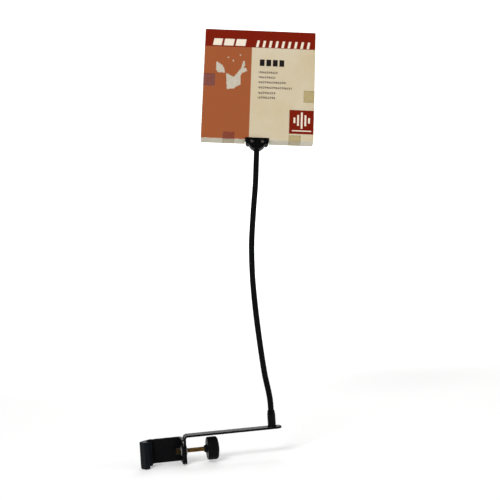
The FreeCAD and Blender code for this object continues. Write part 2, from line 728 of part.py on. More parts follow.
# --------------------------------------------------------------------------------------- card box
def box_half(label, inset, low, high, panel_in_front, place):
    """One half of the card box: a panel with four walls and a notch for the bracket.

    The walls stand between two depths, and the panel closes them in front or at the back.
    """
    body = make_body(label)
    card, half = cell("card"), cell("box_width") / 2 - inset
    bottom = cell("box_low") + inset
    top = cell("box_low") + cell("box_height") - inset
    outside = sketch_on(body, "XZ_Plane", "outside", lift=-high)
    add_outline(outside, rectangle(-half, half, bottom, top))
    pad(body, outside, high - low)
    mouth = high if panel_in_front else low
    hollow = sketch_on(body, "XZ_Plane", "hollow", lift=-mouth)
    add_outline(hollow, rectangle(-half + card, half - card, bottom + card, top - card))
    pocket(body, hollow, high - low - card, backwards=panel_in_front)
    notch = sketch_on(body, "XZ_Plane", "notch", lift=-high - 1)
    wide = cell("notch_width") / 2
    add_outline(notch, rectangle(-wide, wide, bottom - 1, cell("notch_top")))
    pocket(body, notch, (high - low) * 2 + 2, backwards=True)
    body.Placement = place
    return body


def build_card_box(place):
    """Lid with its printed face to the front, and the tray that closes it from the back."""
    card, depth = cell("card"), cell("box_depth")
    box_half("carton_lid", card * 0, depth * 0, depth, True, place)
    inset = card + cell("box_play")
    box_half("carton_tray", inset, depth - cell("tray_depth"), depth, False, place)


def build_tapes(place):
    """Four strips of tape, each turned from the printed face over an edge and along the wall."""
    thick, depth = mm("tape_thick"), mm("box_depth")
    half, low = mm("box_width") / 2, mm("box_low")
    bottom = {"tape_bottom_left": (-38.5, 13.0, 8.5), "tape_bottom_right": (35.0, 13.5, 7.0)}
    for label, (start, width, reach) in bottom.items():
        face = y_box(start, start + width, -thick, 0, low - thick, low + reach)
        wall = y_box(start, start + width, 0, depth, low - thick, low)
        plain_part(label, face.fuse(wall).removeSplitter(), place)
    sides = {"tape_left": (-1, 62.0, 14.5, 13.5), "tape_right": (1, 46.0, 14.0, 12.5)}
    for label, (side, height, width, reach) in sides.items():
        edge, far, skin = side * half, side * (half - reach), side * (half + thick)
        base = low + height
        face = y_box(min(far, skin), max(far, skin), -thick, 0, base, base + width)
        wall = y_box(min(edge, skin), max(edge, skin), 0, depth, base, base + width)
        plain_part(label, face.fuse(wall).removeSplitter(), place)


# ------------------------------------------------------------------------------------------ export
def check_and_write():
    """Stop on any failed object, then write every node's STEP file."""
    doc.recompute()
    for thing in doc.Objects:
        if any(state in ("Invalid", "Error") for state in thing.State):
            raise RuntimeError(f"{thing.Label} failed: {thing.State}")
    os.makedirs("parts", exist_ok=True)
    kinds = ("PartDesign::Body", "Part::Feature")
    nodes = [thing for thing in doc.Objects if thing.TypeId in kinds]
    for node in nodes:
        shape = node.Shape
        if shape.isNull() or not shape.isValid() or shape.Volume <= 0:
            raise RuntimeError(f"{node.Label} has no valid shape")
        shape.exportStep(f"parts/{node.Label}.step")
        box = shape.BoundBox
        print(f"{node.Label:18s} {len(shape.Solids)} solids {shape.Volume:10.1f} mm3  "
              f"{box.XMin:.1f} {box.YMin:.1f} {box.ZMin:.1f} to {box.XMax:.1f} {box.YMax:.1f} {box.ZMax:.1f}")


def main():
    """Build every node in the clamp's frame, then the head's nodes in the head's frame."""
    build_clamp_strap()
    build_jaw_saddle()
    build_arm_bar()
    build_threaded_bush()
    build_pressure_tip()
    build_thumb_screw()
    build_knob()
    build_neck_ferrule()
    build_ferrule_screw()
    build_neck()
    # The neck enters the bracket at the middle of the head's depth.
    head = head_placement().multiply(App.Placement(Vector(0, -mm("head_mid"), 0), App.Rotation()))
    build_hoops(head)
    build_spacer(head)
    build_meshes(head)
    build_hoop_screws(head)
    build_bracket(head)
    build_bracket_rivets(head)
    build_neck_sleeve(head)
    build_card_box(head)
    build_tapes(head)
    check_and_write()


main()
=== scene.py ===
"""A pop filter on a clamped gooseneck, its round filter head kept in a taped card box.

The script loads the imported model, puts a worked surface in place of each part that is seen, gives
every part its finish, and sets a plain studio round the whole. Lengths are in metres in the
clamp's frame: +Z up along the stand's tube, +X out along the thumb screw and the arm, +Y from the
clamp's open side to its back. The head, its bracket and the card box use the head's own frame,
with X across, Y to the back and Z along the neck's last stretch.
"""
from __future__ import annotations

import json
import logging
import math
from dataclasses import dataclass, field
from enum import Enum
from typing import Any, ClassVar, Sequence

import bmesh
import bpy
import numpy as np
from mathutils import Matrix, Vector

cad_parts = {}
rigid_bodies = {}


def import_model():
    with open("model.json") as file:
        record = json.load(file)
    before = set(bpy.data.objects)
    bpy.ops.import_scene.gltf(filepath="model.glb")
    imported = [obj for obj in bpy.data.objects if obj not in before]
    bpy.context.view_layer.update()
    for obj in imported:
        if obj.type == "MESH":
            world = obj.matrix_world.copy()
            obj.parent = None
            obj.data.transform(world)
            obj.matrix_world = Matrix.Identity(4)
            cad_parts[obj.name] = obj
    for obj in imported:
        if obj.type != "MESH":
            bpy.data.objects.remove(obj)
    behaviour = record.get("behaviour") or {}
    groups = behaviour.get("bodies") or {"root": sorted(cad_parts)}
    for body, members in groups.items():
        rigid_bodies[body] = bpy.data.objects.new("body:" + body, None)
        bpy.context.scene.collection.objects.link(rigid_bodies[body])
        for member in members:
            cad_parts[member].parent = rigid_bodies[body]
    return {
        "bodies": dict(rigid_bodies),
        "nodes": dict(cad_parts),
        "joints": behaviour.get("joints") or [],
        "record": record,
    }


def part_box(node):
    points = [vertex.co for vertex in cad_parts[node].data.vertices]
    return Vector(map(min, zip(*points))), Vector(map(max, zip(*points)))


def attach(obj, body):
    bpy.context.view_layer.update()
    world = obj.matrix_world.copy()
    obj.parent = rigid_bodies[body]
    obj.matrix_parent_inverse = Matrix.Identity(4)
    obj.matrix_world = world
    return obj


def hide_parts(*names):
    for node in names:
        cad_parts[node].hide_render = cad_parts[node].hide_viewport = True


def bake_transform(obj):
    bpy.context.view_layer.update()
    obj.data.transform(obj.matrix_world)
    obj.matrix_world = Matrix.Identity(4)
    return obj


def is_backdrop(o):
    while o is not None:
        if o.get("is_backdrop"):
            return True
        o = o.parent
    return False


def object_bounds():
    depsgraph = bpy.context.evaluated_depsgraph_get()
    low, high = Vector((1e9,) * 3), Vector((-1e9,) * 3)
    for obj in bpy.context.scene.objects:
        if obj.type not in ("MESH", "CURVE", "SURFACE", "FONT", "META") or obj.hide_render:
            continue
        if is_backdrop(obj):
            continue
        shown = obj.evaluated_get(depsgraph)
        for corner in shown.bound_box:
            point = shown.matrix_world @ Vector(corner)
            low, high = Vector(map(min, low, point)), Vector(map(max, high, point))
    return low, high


log = logging.getLogger("pop_filter")

MM = 0.001
TINY = 1e-9
Array = np.ndarray


# --------------------------------------------------------------------------------- shader writing
class Wire:
    """One output socket of a node tree, with the sums that shader maths is written in."""

    def __init__(self, shader: "Shader", socket: bpy.types.NodeSocket) -> None:
        """Hold a socket and the shader that it belongs to."""
        self.shader = shader
        self.socket = socket

    def _sum(self, operation: str, first: Any, second: Any = 0.0) -> "Wire":
        """A Math node on two values."""
        return self.shader.node("ShaderNodeMath", {"operation": operation}, {0: first, 1: second})

    def __add__(self, other: Any) -> "Wire":
        """This plus another."""
        return self._sum("ADD", self, other)

    __radd__ = __add__

    def __sub__(self, other: Any) -> "Wire":
        """This less another."""
        return self._sum("SUBTRACT", self, other)

    def __rsub__(self, other: Any) -> "Wire":
        """Another less this."""
        return self._sum("SUBTRACT", other, self)

    def __mul__(self, other: Any) -> "Wire":
        """This times another."""
        return self._sum("MULTIPLY", self, other)

    __rmul__ = __mul__

    def __truediv__(self, other: Any) -> "Wire":
        """This over another."""
        return self._sum("DIVIDE", self, other)

    def __abs__(self) -> "Wire":
        """The size of this, without its sign."""
        return self._sum("ABSOLUTE", self)

    def sine(self) -> "Wire":
        """The sine of this, in radians."""
        return self._sum("SINE", self)

    def fraction(self) -> "Wire":
        """What is left of this above the whole number below it."""
        return self._sum("FRACT", self)

    def least(self, other: Any) -> "Wire":
        """The smaller of this and another."""
        return self._sum("MINIMUM", self, other)

    def most(self, other: Any) -> "Wire":
        """The larger of this and another."""
        return self._sum("MAXIMUM", self, other)

    def step(self, low: float, high: float) -> "Wire":
        """A ramp from 0 where this is low to 1 where it is high, flat outside them."""
        return self.shader.node("ShaderNodeMapRange", {"clamp": True},
                                {0: self, 1: low, 2: high, 3: 0.0, 4: 1.0})

    def within(self, low: float, high: float, soft: float) -> "Wire":
        """1 where this lies from low to high, with edges as wide as soft."""
        middle, half = (low + high) / 2, (high - low) / 2
        return (half - abs(self - middle)).step(-soft / 2, soft / 2)


class Shader:
    """The node tree of one material, and the short ways to add to it."""

    def __init__(self, name: str) -> None:
        """Start a material with a Principled shader wired to its output."""
        self.material = bpy.data.materials.new(name)
        self.material.use_nodes = True
        self.tree = self.material.node_tree
        self.tree.nodes.clear()
        self.surface = self.tree.nodes.new("ShaderNodeBsdfPrincipled")
        output = self.tree.nodes.new("ShaderNodeOutputMaterial")
        self.tree.links.new(self.surface.outputs[0], output.inputs[0])

    def _fill(self, node: bpy.types.Node, inputs: dict[Any, Any]) -> None:
        """Give a node's sockets their values or their links."""
        for key, value in inputs.items():
            if isinstance(value, Wire):
                self.tree.links.new(value.socket, node.inputs[key])
            else:
                node.inputs[key].default_value = value

    def node(self, kind: str, settings: dict[str, Any] | None = None,
             inputs: dict[Any, Any] | None = None, output: int | str = 0) -> Wire:
        """Add a node.

        Args:
            kind: the node's type.
            settings: its own settings, set before its sockets.
            inputs: a value or a wire for each socket, by name or by number.
            output: the output that is wanted.

        Returns:
            The wanted output.
        """
        node = self.tree.nodes.new(kind)
        for key, value in (settings or {}).items():
            setattr(node, key, value)
        self._fill(node, inputs or {})
        return Wire(self, node.outputs[output])

    def dress(self, inputs: dict[str, Any]) -> None:
        """Set the Principled shader's own sockets."""
        self._fill(self.surface, inputs)

    def place(self) -> Wire:
        """The place of a point on the piece, in its own coordinates."""
        return self.node("ShaderNodeTexCoord", output="Object")

    def noise(self, scale: float, detail: float = 2.0, rough: float = 0.5,
              bend: float = 0.0) -> Wire:
        """Cloudy noise from 0 to 1 with so many lumps to the metre."""
        return self.node("ShaderNodeTexNoise", None,
                         {"Vector": self.place(), "Scale": scale, "Detail": detail,
                          "Roughness": rough, "Distortion": bend})

    def mix(self, share: Any, first: Any, second: Any) -> Wire:
        """A colour between two others."""
        return self.node("ShaderNodeMix", {"data_type": "RGBA"}, {0: share, 6: first, 7: second},
                         output=2)

    def bump(self, height: Wire, depth: float, strength: float = 1.0) -> Wire:
        """A normal tilted by a height from 0 to 1 that stands for a depth in metres."""
        return self.node("ShaderNodeBump", None,
                         {"Strength": strength, "Distance": depth, "Height": height})

    def attribute(self, name: str) -> Wire:
        """A number kept on the surface's points."""
        return self.node("ShaderNodeAttribute", {"attribute_name": name}, output="Fac")


def paint(red: float, green: float, blue: float) -> tuple[float, float, float, float]:
    """A colour as light, from how it looks on a screen: each part by the screen's own curve."""
    def light(part: float) -> float:
        """One part of the colour as light."""
        return part / 12.92 if part <= 0.04045 else ((part + 0.055) / 1.055) ** 2.4
    return light(red), light(green), light(blue), 1.0


@dataclass(frozen=True)
class Finish:
    """A finish that a piece can be given; each kind lays its own nodes."""

    slot: str = ""
    name: str = "finish"
    made: ClassVar[dict[str, bpy.types.Material]] = {}

    def lay(self, shader: Shader) -> None:
        """Lay the finish's nodes."""
        raise NotImplementedError

    def material(self) -> bpy.types.Material:
        """The finish's material, made once."""
        if self.name not in self.made:
            shader = Shader(self.name)
            self.lay(shader)
            self.made[self.name] = shader.material
        return self.made[self.name]


@dataclass(frozen=True)
class BlackPaint(Finish):
    """Sprayed black on steel: a fine orange peel, scuffs, and bare metal on the worn edges."""

    name: str = "black_paint"
    slot: str = "black_steel"
    black: tuple = paint(0.030, 0.030, 0.036)
    bare: tuple = paint(0.62, 0.60, 0.57)
    rough: float = 0.30
    peel: float = 900.0
    wear: float = 0.42
    level: float = 0.045

    def lay(self, shader: Shader) -> None:
        """Scuffs lift the roughness; edges lose their paint where the wear noise is high."""
        scuff = shader.noise(160, 5, rough=0.65)
        chips = shader.noise(420, 4, rough=0.6)
        edge = shader.attribute("wear")
        bare = (edge * chips).step(self.wear, self.wear + 0.08)
        dull = scuff.step(0.35, 0.75)
        tone = shader.mix(dull, self.black, paint(0.060, 0.062, 0.070))
        shader.dress({
            "Base Color": shader.mix(bare, tone, self.bare),
            "Metallic": bare * 0.9,
            "Roughness": dull * 0.22 + self.rough,
            "Normal": shader.bump(shader.noise(self.peel, 2) + bare * -0.6, 0.00005),
            "Specular IOR Level": self.level,
        })


@dataclass(frozen=True)
class GlossBlack(Finish):
    """Smooth gloss black with faint handling marks."""

    name: str = "gloss_black"
    slot: str = "gloss_black_steel"
    black: tuple = paint(0.035, 0.035, 0.04)
    rough: float = 0.10

    def lay(self, shader: Shader) -> None:
        """Handling marks are broad soft clouds in the gloss."""
        marks = shader.noise(130, 4, rough=0.6).step(0.42, 0.72)
        edge = shader.attribute("wear") * shader.noise(700, 3)
        worn = edge.step(0.52, 0.62)
        shader.dress({
            "Base Color": shader.mix(worn, self.black, paint(0.42, 0.41, 0.40)),
            "Metallic": worn * 0.8,
            "Roughness": marks * 0.16 + self.rough,
            "Normal": shader.bump(shader.noise(500, 2), 0.00002),
            "Specular IOR Level": 0.06,
        })


@dataclass(frozen=True)
class WoundNeck(Finish):
    """Black coated conduit wound from round wire, rubbed on the crests of its turns."""

    name: str = "wound_neck"
    slot: str = "neck_steel"
    black: tuple = paint(0.02, 0.02, 0.025)
    crest: tuple = paint(0.085, 0.085, 0.092)

    def lay(self, shader: Shader) -> None:
        """Crests are paler and smoother than the grooves, unevenly along the neck."""
        crest = shader.attribute("crest")
        patch = shader.noise(45, 3, rough=0.6).step(0.3, 0.7)
        rubbed = crest.step(0.72, 1.0) * (patch * 0.7 + 0.25)
        grime = shader.noise(900, 3)
        shader.dress({
            "Base Color": shader.mix(rubbed, self.black, self.crest),
            "Roughness": 0.42 - rubbed * 0.16 + grime * 0.1,
            "Normal": shader.bump(grime, 0.00002),
            "Specular IOR Level": 0.025,
        })


@dataclass(frozen=True)
class BareMetal(Finish):
    """Plated or polished metal with fine turning lines, tarnish and specks."""

    name: str = "zinc"
    slot: str = "zinc_steel"
    tone: tuple = paint(0.66, 0.66, 0.64)
    tarnish: tuple = paint(0.42, 0.40, 0.37)
    rough: float = 0.32

    def lay(self, shader: Shader) -> None:
        """Tarnish gathers in clouds and darkens and dulls the plating."""
        cloud = shader.noise(240, 5, rough=0.65)
        speck = shader.noise(1900, 2).step(0.62, 0.72)
        dull = cloud.step(0.40, 0.68)
        shader.dress({
            "Base Color": shader.mix((dull * 0.6 + speck * 0.4), self.tone, self.tarnish),
            "Metallic": 1.0,
            "Roughness": dull * 0.22 + speck * 0.15 + self.rough,
            "Normal": shader.bump(shader.noise(2400, 2), 0.00001),
        })


@dataclass(frozen=True)
class MouldedPlastic(Finish):
    """Moulded black plastic with a fine grain and a few shiny rubbed places."""

    name: str = "moulded_plastic"
    slot: str = "knob_plastic"
    black: tuple = paint(0.045, 0.045, 0.05)
    rough: float = 0.42
    grain: float = 1500.0
    depth: float = 0.00006
    level: float = 0.035

    def lay(self, shader: Shader) -> None:
        """Rubbed places lose their grain and their dullness; edges go a little grey."""
        rub = shader.noise(110, 4, rough=0.55).step(0.38, 0.7)
        edge = shader.attribute("wear") * shader.noise(600, 4)
        grey = edge.step(0.40, 0.60)
        grain = shader.noise(self.grain, 3, rough=0.6)
        shader.dress({
            "Base Color": shader.mix(grey, self.black, paint(0.13, 0.13, 0.135)),
            "Roughness": self.rough - rub * 0.14 + grain * 0.08,
            "Normal": shader.bump(grain * (1.0 - rub * 0.5), self.depth),
            "Specular IOR Level": self.level,
        })


@dataclass(frozen=True)
class BootRubber(Finish):
    """Dipped black rubber with a painted bluish sheen in broad patches, scuffs, and shallow
    dimples.
    """

    name: str = "boot_rubber"
    slot: str = "boot_rubber"
    black: tuple = paint(0.035, 0.042, 0.055)
    # Paler blue: painted sheen where the broad patches lie, scuff wear where the scuffs lie.
    sheen_and_scuff: tuple = paint(0.085, 0.115, 0.15)

    def lay(self, shader: Shader) -> None:
        """The paler blue is painted sheen in broad patches, and real scuffs cross it in the same
        blue.
        """
        patch = shader.noise(90, 5, rough=0.6).step(0.38, 0.72)
        scuff = shader.noise(700, 3).step(0.58, 0.7)
        shader.dress({
            # Base colour: painted bluish sheen in the patches, and the same blue on the scuffs.
            "Base Color": shader.mix(patch * 0.55 + scuff * 0.25, self.black, self.sheen_and_scuff),
            "Roughness": 0.36 + patch * 0.18 + scuff * 0.1,
            "Normal": shader.bump(shader.noise(380, 3), 0.00012),
            "Specular IOR Level": 0.05,
        })


@dataclass(frozen=True)
class KnitNylon(Finish):
    """Fine black nylon net, open between its yarns."""

    name: str = "knit_nylon"
    slot: str = "nylon_mesh"
    black: tuple = paint(0.10, 0.10, 0.105)
    pitch: float = 0.9 * MM
    head: "Head" = None

    def lay(self, shader: Shader) -> None:
        """Two slanting sets of yarns: a yarn is where a sine across its set is small."""
        across, _, up = self.head.places(shader)
        lean, back = across + up, across - up
        rows = math.pi / (self.pitch / MM)
        first = abs((lean * rows).sine())
        second = abs((back * rows).sine())
        yarn = 1.0 - first.least(second)
        fuzz = shader.noise(3000, 2)
        shader.dress({
            "Base Color": shader.mix(fuzz, self.black, paint(0.17, 0.17, 0.175)),
            "Roughness": 0.55 + fuzz * 0.2,
            "Alpha": yarn.step(0.42, 0.62),
            "Normal": shader.bump(yarn, 0.0002),
            "Sheen Weight": 0.2,
        })


class Panel(Enum):
    """The inks and papers of the box's printed face."""

    BAND = paint(0.430, 0.080, 0.010)
    ORANGE = paint(0.570, 0.310, 0.175)
    CREAM = paint(0.760, 0.710, 0.610)
    STAIN = paint(0.705, 0.630, 0.470)
    WHITE = paint(0.860, 0.815, 0.740)
    BLACK = paint(0.095, 0.080, 0.075)
    BOARD = paint(0.775, 0.755, 0.690)
    TORN = paint(0.745, 0.715, 0.655)
    DIRT = paint(0.410, 0.370, 0.300)


@dataclass(frozen=True)
class Bar:
    """An upright rectangle of ink on the printed face, in millimetres of the head's frame."""

    left: float
    right: float
    low: float
    high: float

    def mask(self, across: Wire, up: Wire, soft: float = 0.5) -> Wire:
        """1 inside the rectangle."""
        return (across.within(self.left, self.right, soft)
                * up.within(self.low, self.high, soft))


@dataclass(frozen=True)
class Scrap:
    """A straight-sided piece of torn print: its corners (x, z), anticlockwise, in millimetres."""

    corners: tuple[tuple[float, float], ...]

    def reach(self, shader: Shader, flat: Wire) -> Wire:
        """How far inside the scrap a point lies, negative outside.

        Each side's distance is the point's dot product with the side's inward normal, less the
        corner's own; the reach is the least of them.
        """
        least = None
        for a, b in zip(self.corners, self.corners[1:] + self.corners[:1]):
            long = math.hypot(b[0] - a[0], b[1] - a[1])
            inward = ((a[1] - b[1]) / long, 0.0, (b[0] - a[0]) / long)
            dot = shader.node("ShaderNodeVectorMath", {"operation": "DOT_PRODUCT"},
                              {0: flat, 1: inward}, "Value")
            far = dot - (a[0] * inward[0] + a[1] * inward[2])
            least = far if least is None else least.least(far)
        return least


@dataclass(frozen=True)
class PrintedCard(Finish):
    """The box's lid: a faded print in brown, orange and cream on grey board, torn and marked."""

    name: str = "printed_card"
    slot: str = "printed_card"
    head: "Head" = None
    half_wide: float = 63.0
    low: float = 11.0
    high: float = 142.0
    band_low: float = 120.8
    divide: float = -9.2
    tears: tuple = (
        Scrap(((-49.0, 102.8), (-48.9, 93.0), (-47.0, 89.3), (-39.4, 89.3), (-39.0, 91.4),
               (-41.4, 97.4))),
        Scrap(((-37.4, 88.8), (-35.9, 69.2), (-27.5, 71.0), (-27.5, 83.6))),
        Scrap(((-30.2, 84.2), (-29.6, 70.4), (-20.7, 75.4), (-21.1, 86.9))),
        Scrap(((-29.2, 84.0), (-22.0, 84.6), (-19.0, 89.8), (-20.3, 95.6))),
        Scrap(((-20.9, 93.0), (-15.4, 95.6), (-16.2, 99.2), (-13.4, 103.8), (-18.9, 103.7))),
        Scrap(((-20.6, 95.6), (-21.4, 90.0), (-18.9, 89.7), (-13.9, 92.0), (-15.5, 95.8))),
        Scrap(((-22.6, 111.6), (-21.8, 109.6), (-21.0, 111.0))),
        Scrap(((-36.9, 108.0), (-36.0, 106.9), (-34.8, 107.6), (-35.6, 108.6))),
        Scrap(((-30.8, 104.4), (-29.9, 102.8), (-28.8, 103.8), (-29.9, 105.0))),
    )

    def lay(self, shader: Shader) -> None:
        """Print on the front face only; the walls and the cut edges show the board."""
        across, deep, up = self.head.places(shader)
        flat = shader.node("ShaderNodeCombineXYZ", None, {"X": across, "Y": 0.0, "Z": up})
        fine = shader.noise(900, 5, rough=0.7)
        broad = shader.noise(26, 4, rough=0.6)
        wave = (shader.noise(1300, 2) - 0.5) * 0.5
        x, z = across + wave, up + wave
        cream = shader.mix(broad.step(0.40, 0.75) * 0.45, Panel.CREAM.value, Panel.STAIN.value)
        # The cream goes darker towards the right edge.
        near_edge = x.step(self.half_wide - 14.0, self.half_wide) * 0.30
        cream = shader.mix(near_edge, cream, Panel.STAIN.value)
        orange = shader.mix(broad.step(0.3, 0.8) * 0.35, Panel.ORANGE.value,
                            paint(0.600, 0.335, 0.195))
        face = shader.mix(x.step(self.divide - 0.3, self.divide + 0.3), orange, cream)
        face = self.inks(shader, face, x, z, broad)
        torn = self.torn(shader, flat)
        rag = shader.noise(500, 4, rough=0.7)
        fibre = shader.mix(rag.step(0.35, 0.7) * 0.6, Panel.TORN.value, paint(0.60, 0.56, 0.49))
        face = shader.mix(torn, face, fibre)
        face = shader.mix(fine.step(0.66, 0.84) * 0.12, face, Panel.WHITE.value)
        spots = shader.noise(210, 3, rough=0.5).step(0.70, 0.76)
        face = shader.mix(spots * 0.25, face, Panel.DIRT.value)
        rim = self.rim(across, up, shader.noise(320, 4))
        face = shader.mix(rim, face, Panel.BOARD.value)
        board = self.board(shader, broad, fine)
        front = deep.step(0.75, 0.45)
        color = shader.mix(front, board, face)
        relief = fine * 0.5 + (1.0 - torn) * 0.9 + rag * torn * 0.6
        shader.dress({
            "Base Color": color,
            "Roughness": 0.86 - front * (1.0 - torn) * 0.30 + fine * 0.06,
            "Normal": shader.bump(relief, 0.00008, 0.8),
            "Specular IOR Level": 0.05,
        })

    def inks(self, shader: Shader, face: Wire, x: Wire, z: Wire, broad: Wire) -> Wire:
        """Lay the dark red band and square, and plain marks where words would stand."""
        band = shader.mix(broad.step(0.3, 0.8) * 0.4, Panel.BAND.value, paint(0.470, 0.105, 0.02))
        square = Bar(35.2, 70.0, 19.5, 47.6)
        red = z.step(self.band_low - 0.25, self.band_low + 0.25).most(square.mask(x, z))
        face = shader.mix(red, face, band)
        slant = x - z * 0.18
        blocks = (slant / 13.4 + 0.82).fraction().within(0.08, 0.90, 0.05)
        white = blocks * Bar(-53.0, -14.5, 122.2, 130.4).mask(slant + 22.8, z)
        slats = (slant / 7.2).fraction().within(0.30, 0.68, 0.09)
        white = white.most(slats * Bar(-6.6, 56.6, 121.4, 129.6).mask(x, z))
        for step, tall in enumerate((3.2, 6.4, 9.6, 6.4, 3.2)):
            middle = 41.0 + step * 4.1
            upright = Bar(middle - 1.0, middle + 1.0, 35.5 - tall, 35.5 + tall)
            white = white.most(upright.mask(x, z))
        white = white.most(Bar(38.5, 60.0, 22.6, 23.8).mask(x, z))
        face = shader.mix(white, face, Panel.WHITE.value)
        heading = (x / 7.4 + 0.12).fraction().within(0.14, 0.88, 0.06)
        black = heading * Bar(-0.6, 28.8, 98.6, 106.6).mask(x, z)
        face = shader.mix(black, face, Panel.BLACK.value)
        letter = (x / 2.1).fraction().within(0.14, 0.82, 0.3)
        ticks = letter * (1.0 - (x / 9.7 + z * 0.31).fraction().within(0.0, 0.16, 0.04) * 0.8)
        ends = ((90.9, 20.8), (85.0, 18.2), (79.1, 30.4), (72.8, 37.0), (66.4, 19.2), (60.8, 19.0))
        rows = None
        for level, right in ends:
            row = Bar(-0.8, right, level - 1.25, level + 1.25).mask(x, z, 0.7)
            rows = row if rows is None else rows.most(row)
        return shader.mix(rows * ticks * 0.9, face, paint(0.24, 0.20, 0.18))

    def torn(self, shader: Shader, flat: Wire) -> Wire:
        """Where the print has come off: the union of the tears, with ragged edges."""
        reach = None
        for scrap in self.tears:
            here = scrap.reach(shader, flat)
            reach = here if reach is None else reach.most(here)
        ragged = (shader.noise(420, 5, rough=0.75) - 0.5) * 3.0
        return (reach + ragged).step(-0.2, 0.2)

    def rim(self, across: Wire, up: Wire, rag: Wire) -> Wire:
        """The board showing through along the face's four edges, more where the noise is high."""
        middle, half_high = (self.low + self.high) / 2, (self.high - self.low) / 2
        gap = (self.half_wide - abs(across)).least(half_high - abs(up - middle))
        return (rag * 1.6 - gap).step(0.28, 0.75)

    def board(self, shader: Shader, broad: Wire, fine: Wire) -> Wire:
        """Grey board with a warmer cast in places and dark flecks."""
        tone = shader.mix(broad.step(0.35, 0.7), Panel.BOARD.value, paint(0.70, 0.675, 0.60))
        return shader.mix(fine.step(0.6, 0.8) * 0.4, tone, paint(0.83, 0.81, 0.75))


@dataclass(frozen=True)
class GreyCard(Finish):
    """Bare grey board with fibres and flecks."""

    name: str = "grey_card"
    slot: str = "grey_card"

    def lay(self, shader: Shader) -> None:
        """Long soft fibres over clouds of grey, with dark and pale flecks."""
        cloud = shader.noise(35, 4, rough=0.6)
        fibre = shader.noise(900, 5, rough=0.75, bend=1.5)
        fleck = shader.noise(520, 2).step(0.66, 0.74)
        tone = shader.mix(cloud.step(0.3, 0.7), paint(0.655, 0.635, 0.565),
                          paint(0.60, 0.58, 0.51))
        tone = shader.mix(fibre.step(0.5, 0.8) * 0.5, tone, paint(0.76, 0.74, 0.68))
        shader.dress({
            "Base Color": shader.mix(fleck * 0.5, tone, paint(0.42, 0.39, 0.33)),
            "Roughness": 0.88 - fibre * 0.08,
            "Normal": shader.bump(fibre, 0.00008),
            "Specular IOR Level": 0.05,
        })


@dataclass(frozen=True)
class OldTape(Finish):
    """Aged clear tape: a tint over the card, yellower at its ends, crazed and slightly glossy."""

    name: str = "old_tape"
    slot: str = "old_tape"
    tint: tuple = paint(0.74, 0.58, 0.32)
    edge: tuple = paint(0.45, 0.34, 0.18)
    wall: tuple = paint(0.70, 0.63, 0.47)
    cover: float = 0.45
    head: "Head" = None

    def lay(self, shader: Shader) -> None:
        """Covers less in the middle than along the border, with blotches where it has lifted."""
        border = shader.attribute("border")
        _, deep, _ = self.head.places(shader)
        tint = shader.mix(deep.step(0.6, 1.4), self.tint, self.wall)
        blotch = shader.noise(190, 5, rough=0.65).step(0.4, 0.7)
        shader.dress({
            "Base Color": shader.mix(border * 0.6, tint, self.edge),
            "Alpha": (blotch * 0.16 + border * 0.25 + self.cover).least(0.95),
            "Roughness": 0.26 + blotch * 0.2,
            "Normal": shader.bump(shader.noise(420, 4, bend=1.0), 0.00006),
            "Specular IOR Level": 0.5,
        })


@dataclass(frozen=True)
class PaleFloor(Finish):
    """A matt pale studio floor."""

    name: str = "pale_floor"
    glow: float = 0.24
    far: float = 0.80

    def lay(self, shader: Shader) -> None:
        """Almost white, with the faintest cloud in it and a little light of its own."""
        cloud = shader.noise(1.5, 2)
        away = shader.node("ShaderNodeVectorMath", {"operation": "LENGTH"}, {0: shader.place()},
                           "Value")
        light = shader.mix(away.step(0.7, 2.4), (self.glow, self.glow, self.glow, 1.0),
                           (self.far, self.far, self.far, 1.0))
        shader.dress({
            "Base Color": shader.mix(cloud, (0.86, 0.86, 0.86, 1.0), (0.90, 0.90, 0.895, 1.0)),
            "Roughness": 0.9,
            "Specular IOR Level": 0.2,
            "Emission Color": light,
            "Emission Strength": 1.0,
        })


# -------------------------------------------------------------------------------------- geometry
def unit(vectors: Array) -> Array:
    """Vectors over their own lengths."""
    return vectors / np.maximum(np.linalg.norm(vectors, axis=-1, keepdims=True), TINY)


def rounded(corners: Sequence[Sequence[float]], radii: float | Sequence[float],
            closed: bool = False, steps: int = 6) -> Array:
    """A line with every corner turned into an arc.

    An arc of radius r at a corner where the line turns by an angle t leaves the straights
    r tan(t/2) from the corner. Its centre lies on the corner's bisector, r / cos(t/2) away, and
    its points swing from the first contact point to the second, each a blend of the two spokes by
    sines.

    Args:
        corners: the line's corners.
        radii: one radius for all corners that turn, or one for each.
        closed: whether the last corner joins the first.
        steps: the spans in each arc.

    Returns:
        The points of the line.
    """
    points = np.asarray(corners, float)
    before, after = (np.roll(points, 1, 0), np.roll(points, -1, 0))
    turning = slice(None) if closed else slice(1, -1)
    here, a, b = points[turning], unit(points - before)[turning], unit(after - points)[turning]
    radius = np.broadcast_to(np.asarray(radii, float), (len(here),))[:, None]
    turn = np.arccos(np.clip((a * b).sum(1), -1, 1))[:, None]
    reach = radius * np.tan(turn / 2)
    centre = here + unit(b - a) * radius / np.cos(turn / 2)
    first, second = here - a * reach - centre, here + b * reach - centre
    share = np.linspace(0, 1, steps + 1)[None, :, None]
    angle = np.maximum(turn, 1e-6)[:, None, :]
    spokes = (np.sin((1 - share) * angle) * first[:, None, :]
              + np.sin(share * angle) * second[:, None, :]) / np.sin(angle)
    arcs = (centre[:, None, :] + spokes).reshape(-1, points.shape[1])
    return arcs if closed else np.vstack([points[:1], arcs, points[-1:]])


def lengths(path: Array) -> Array:
    """The distance along a path at each of its points."""
    return np.concatenate([[0.0], np.cumsum(np.linalg.norm(np.diff(path, axis=0), axis=1))])


def at(path: Array, where: Array) -> Array:
    """The points at some distances along a path, on its straight spans."""
    along = lengths(path)
    return np.stack([np.interp(where, along, path[:, i]) for i in range(path.shape[1])], 1)


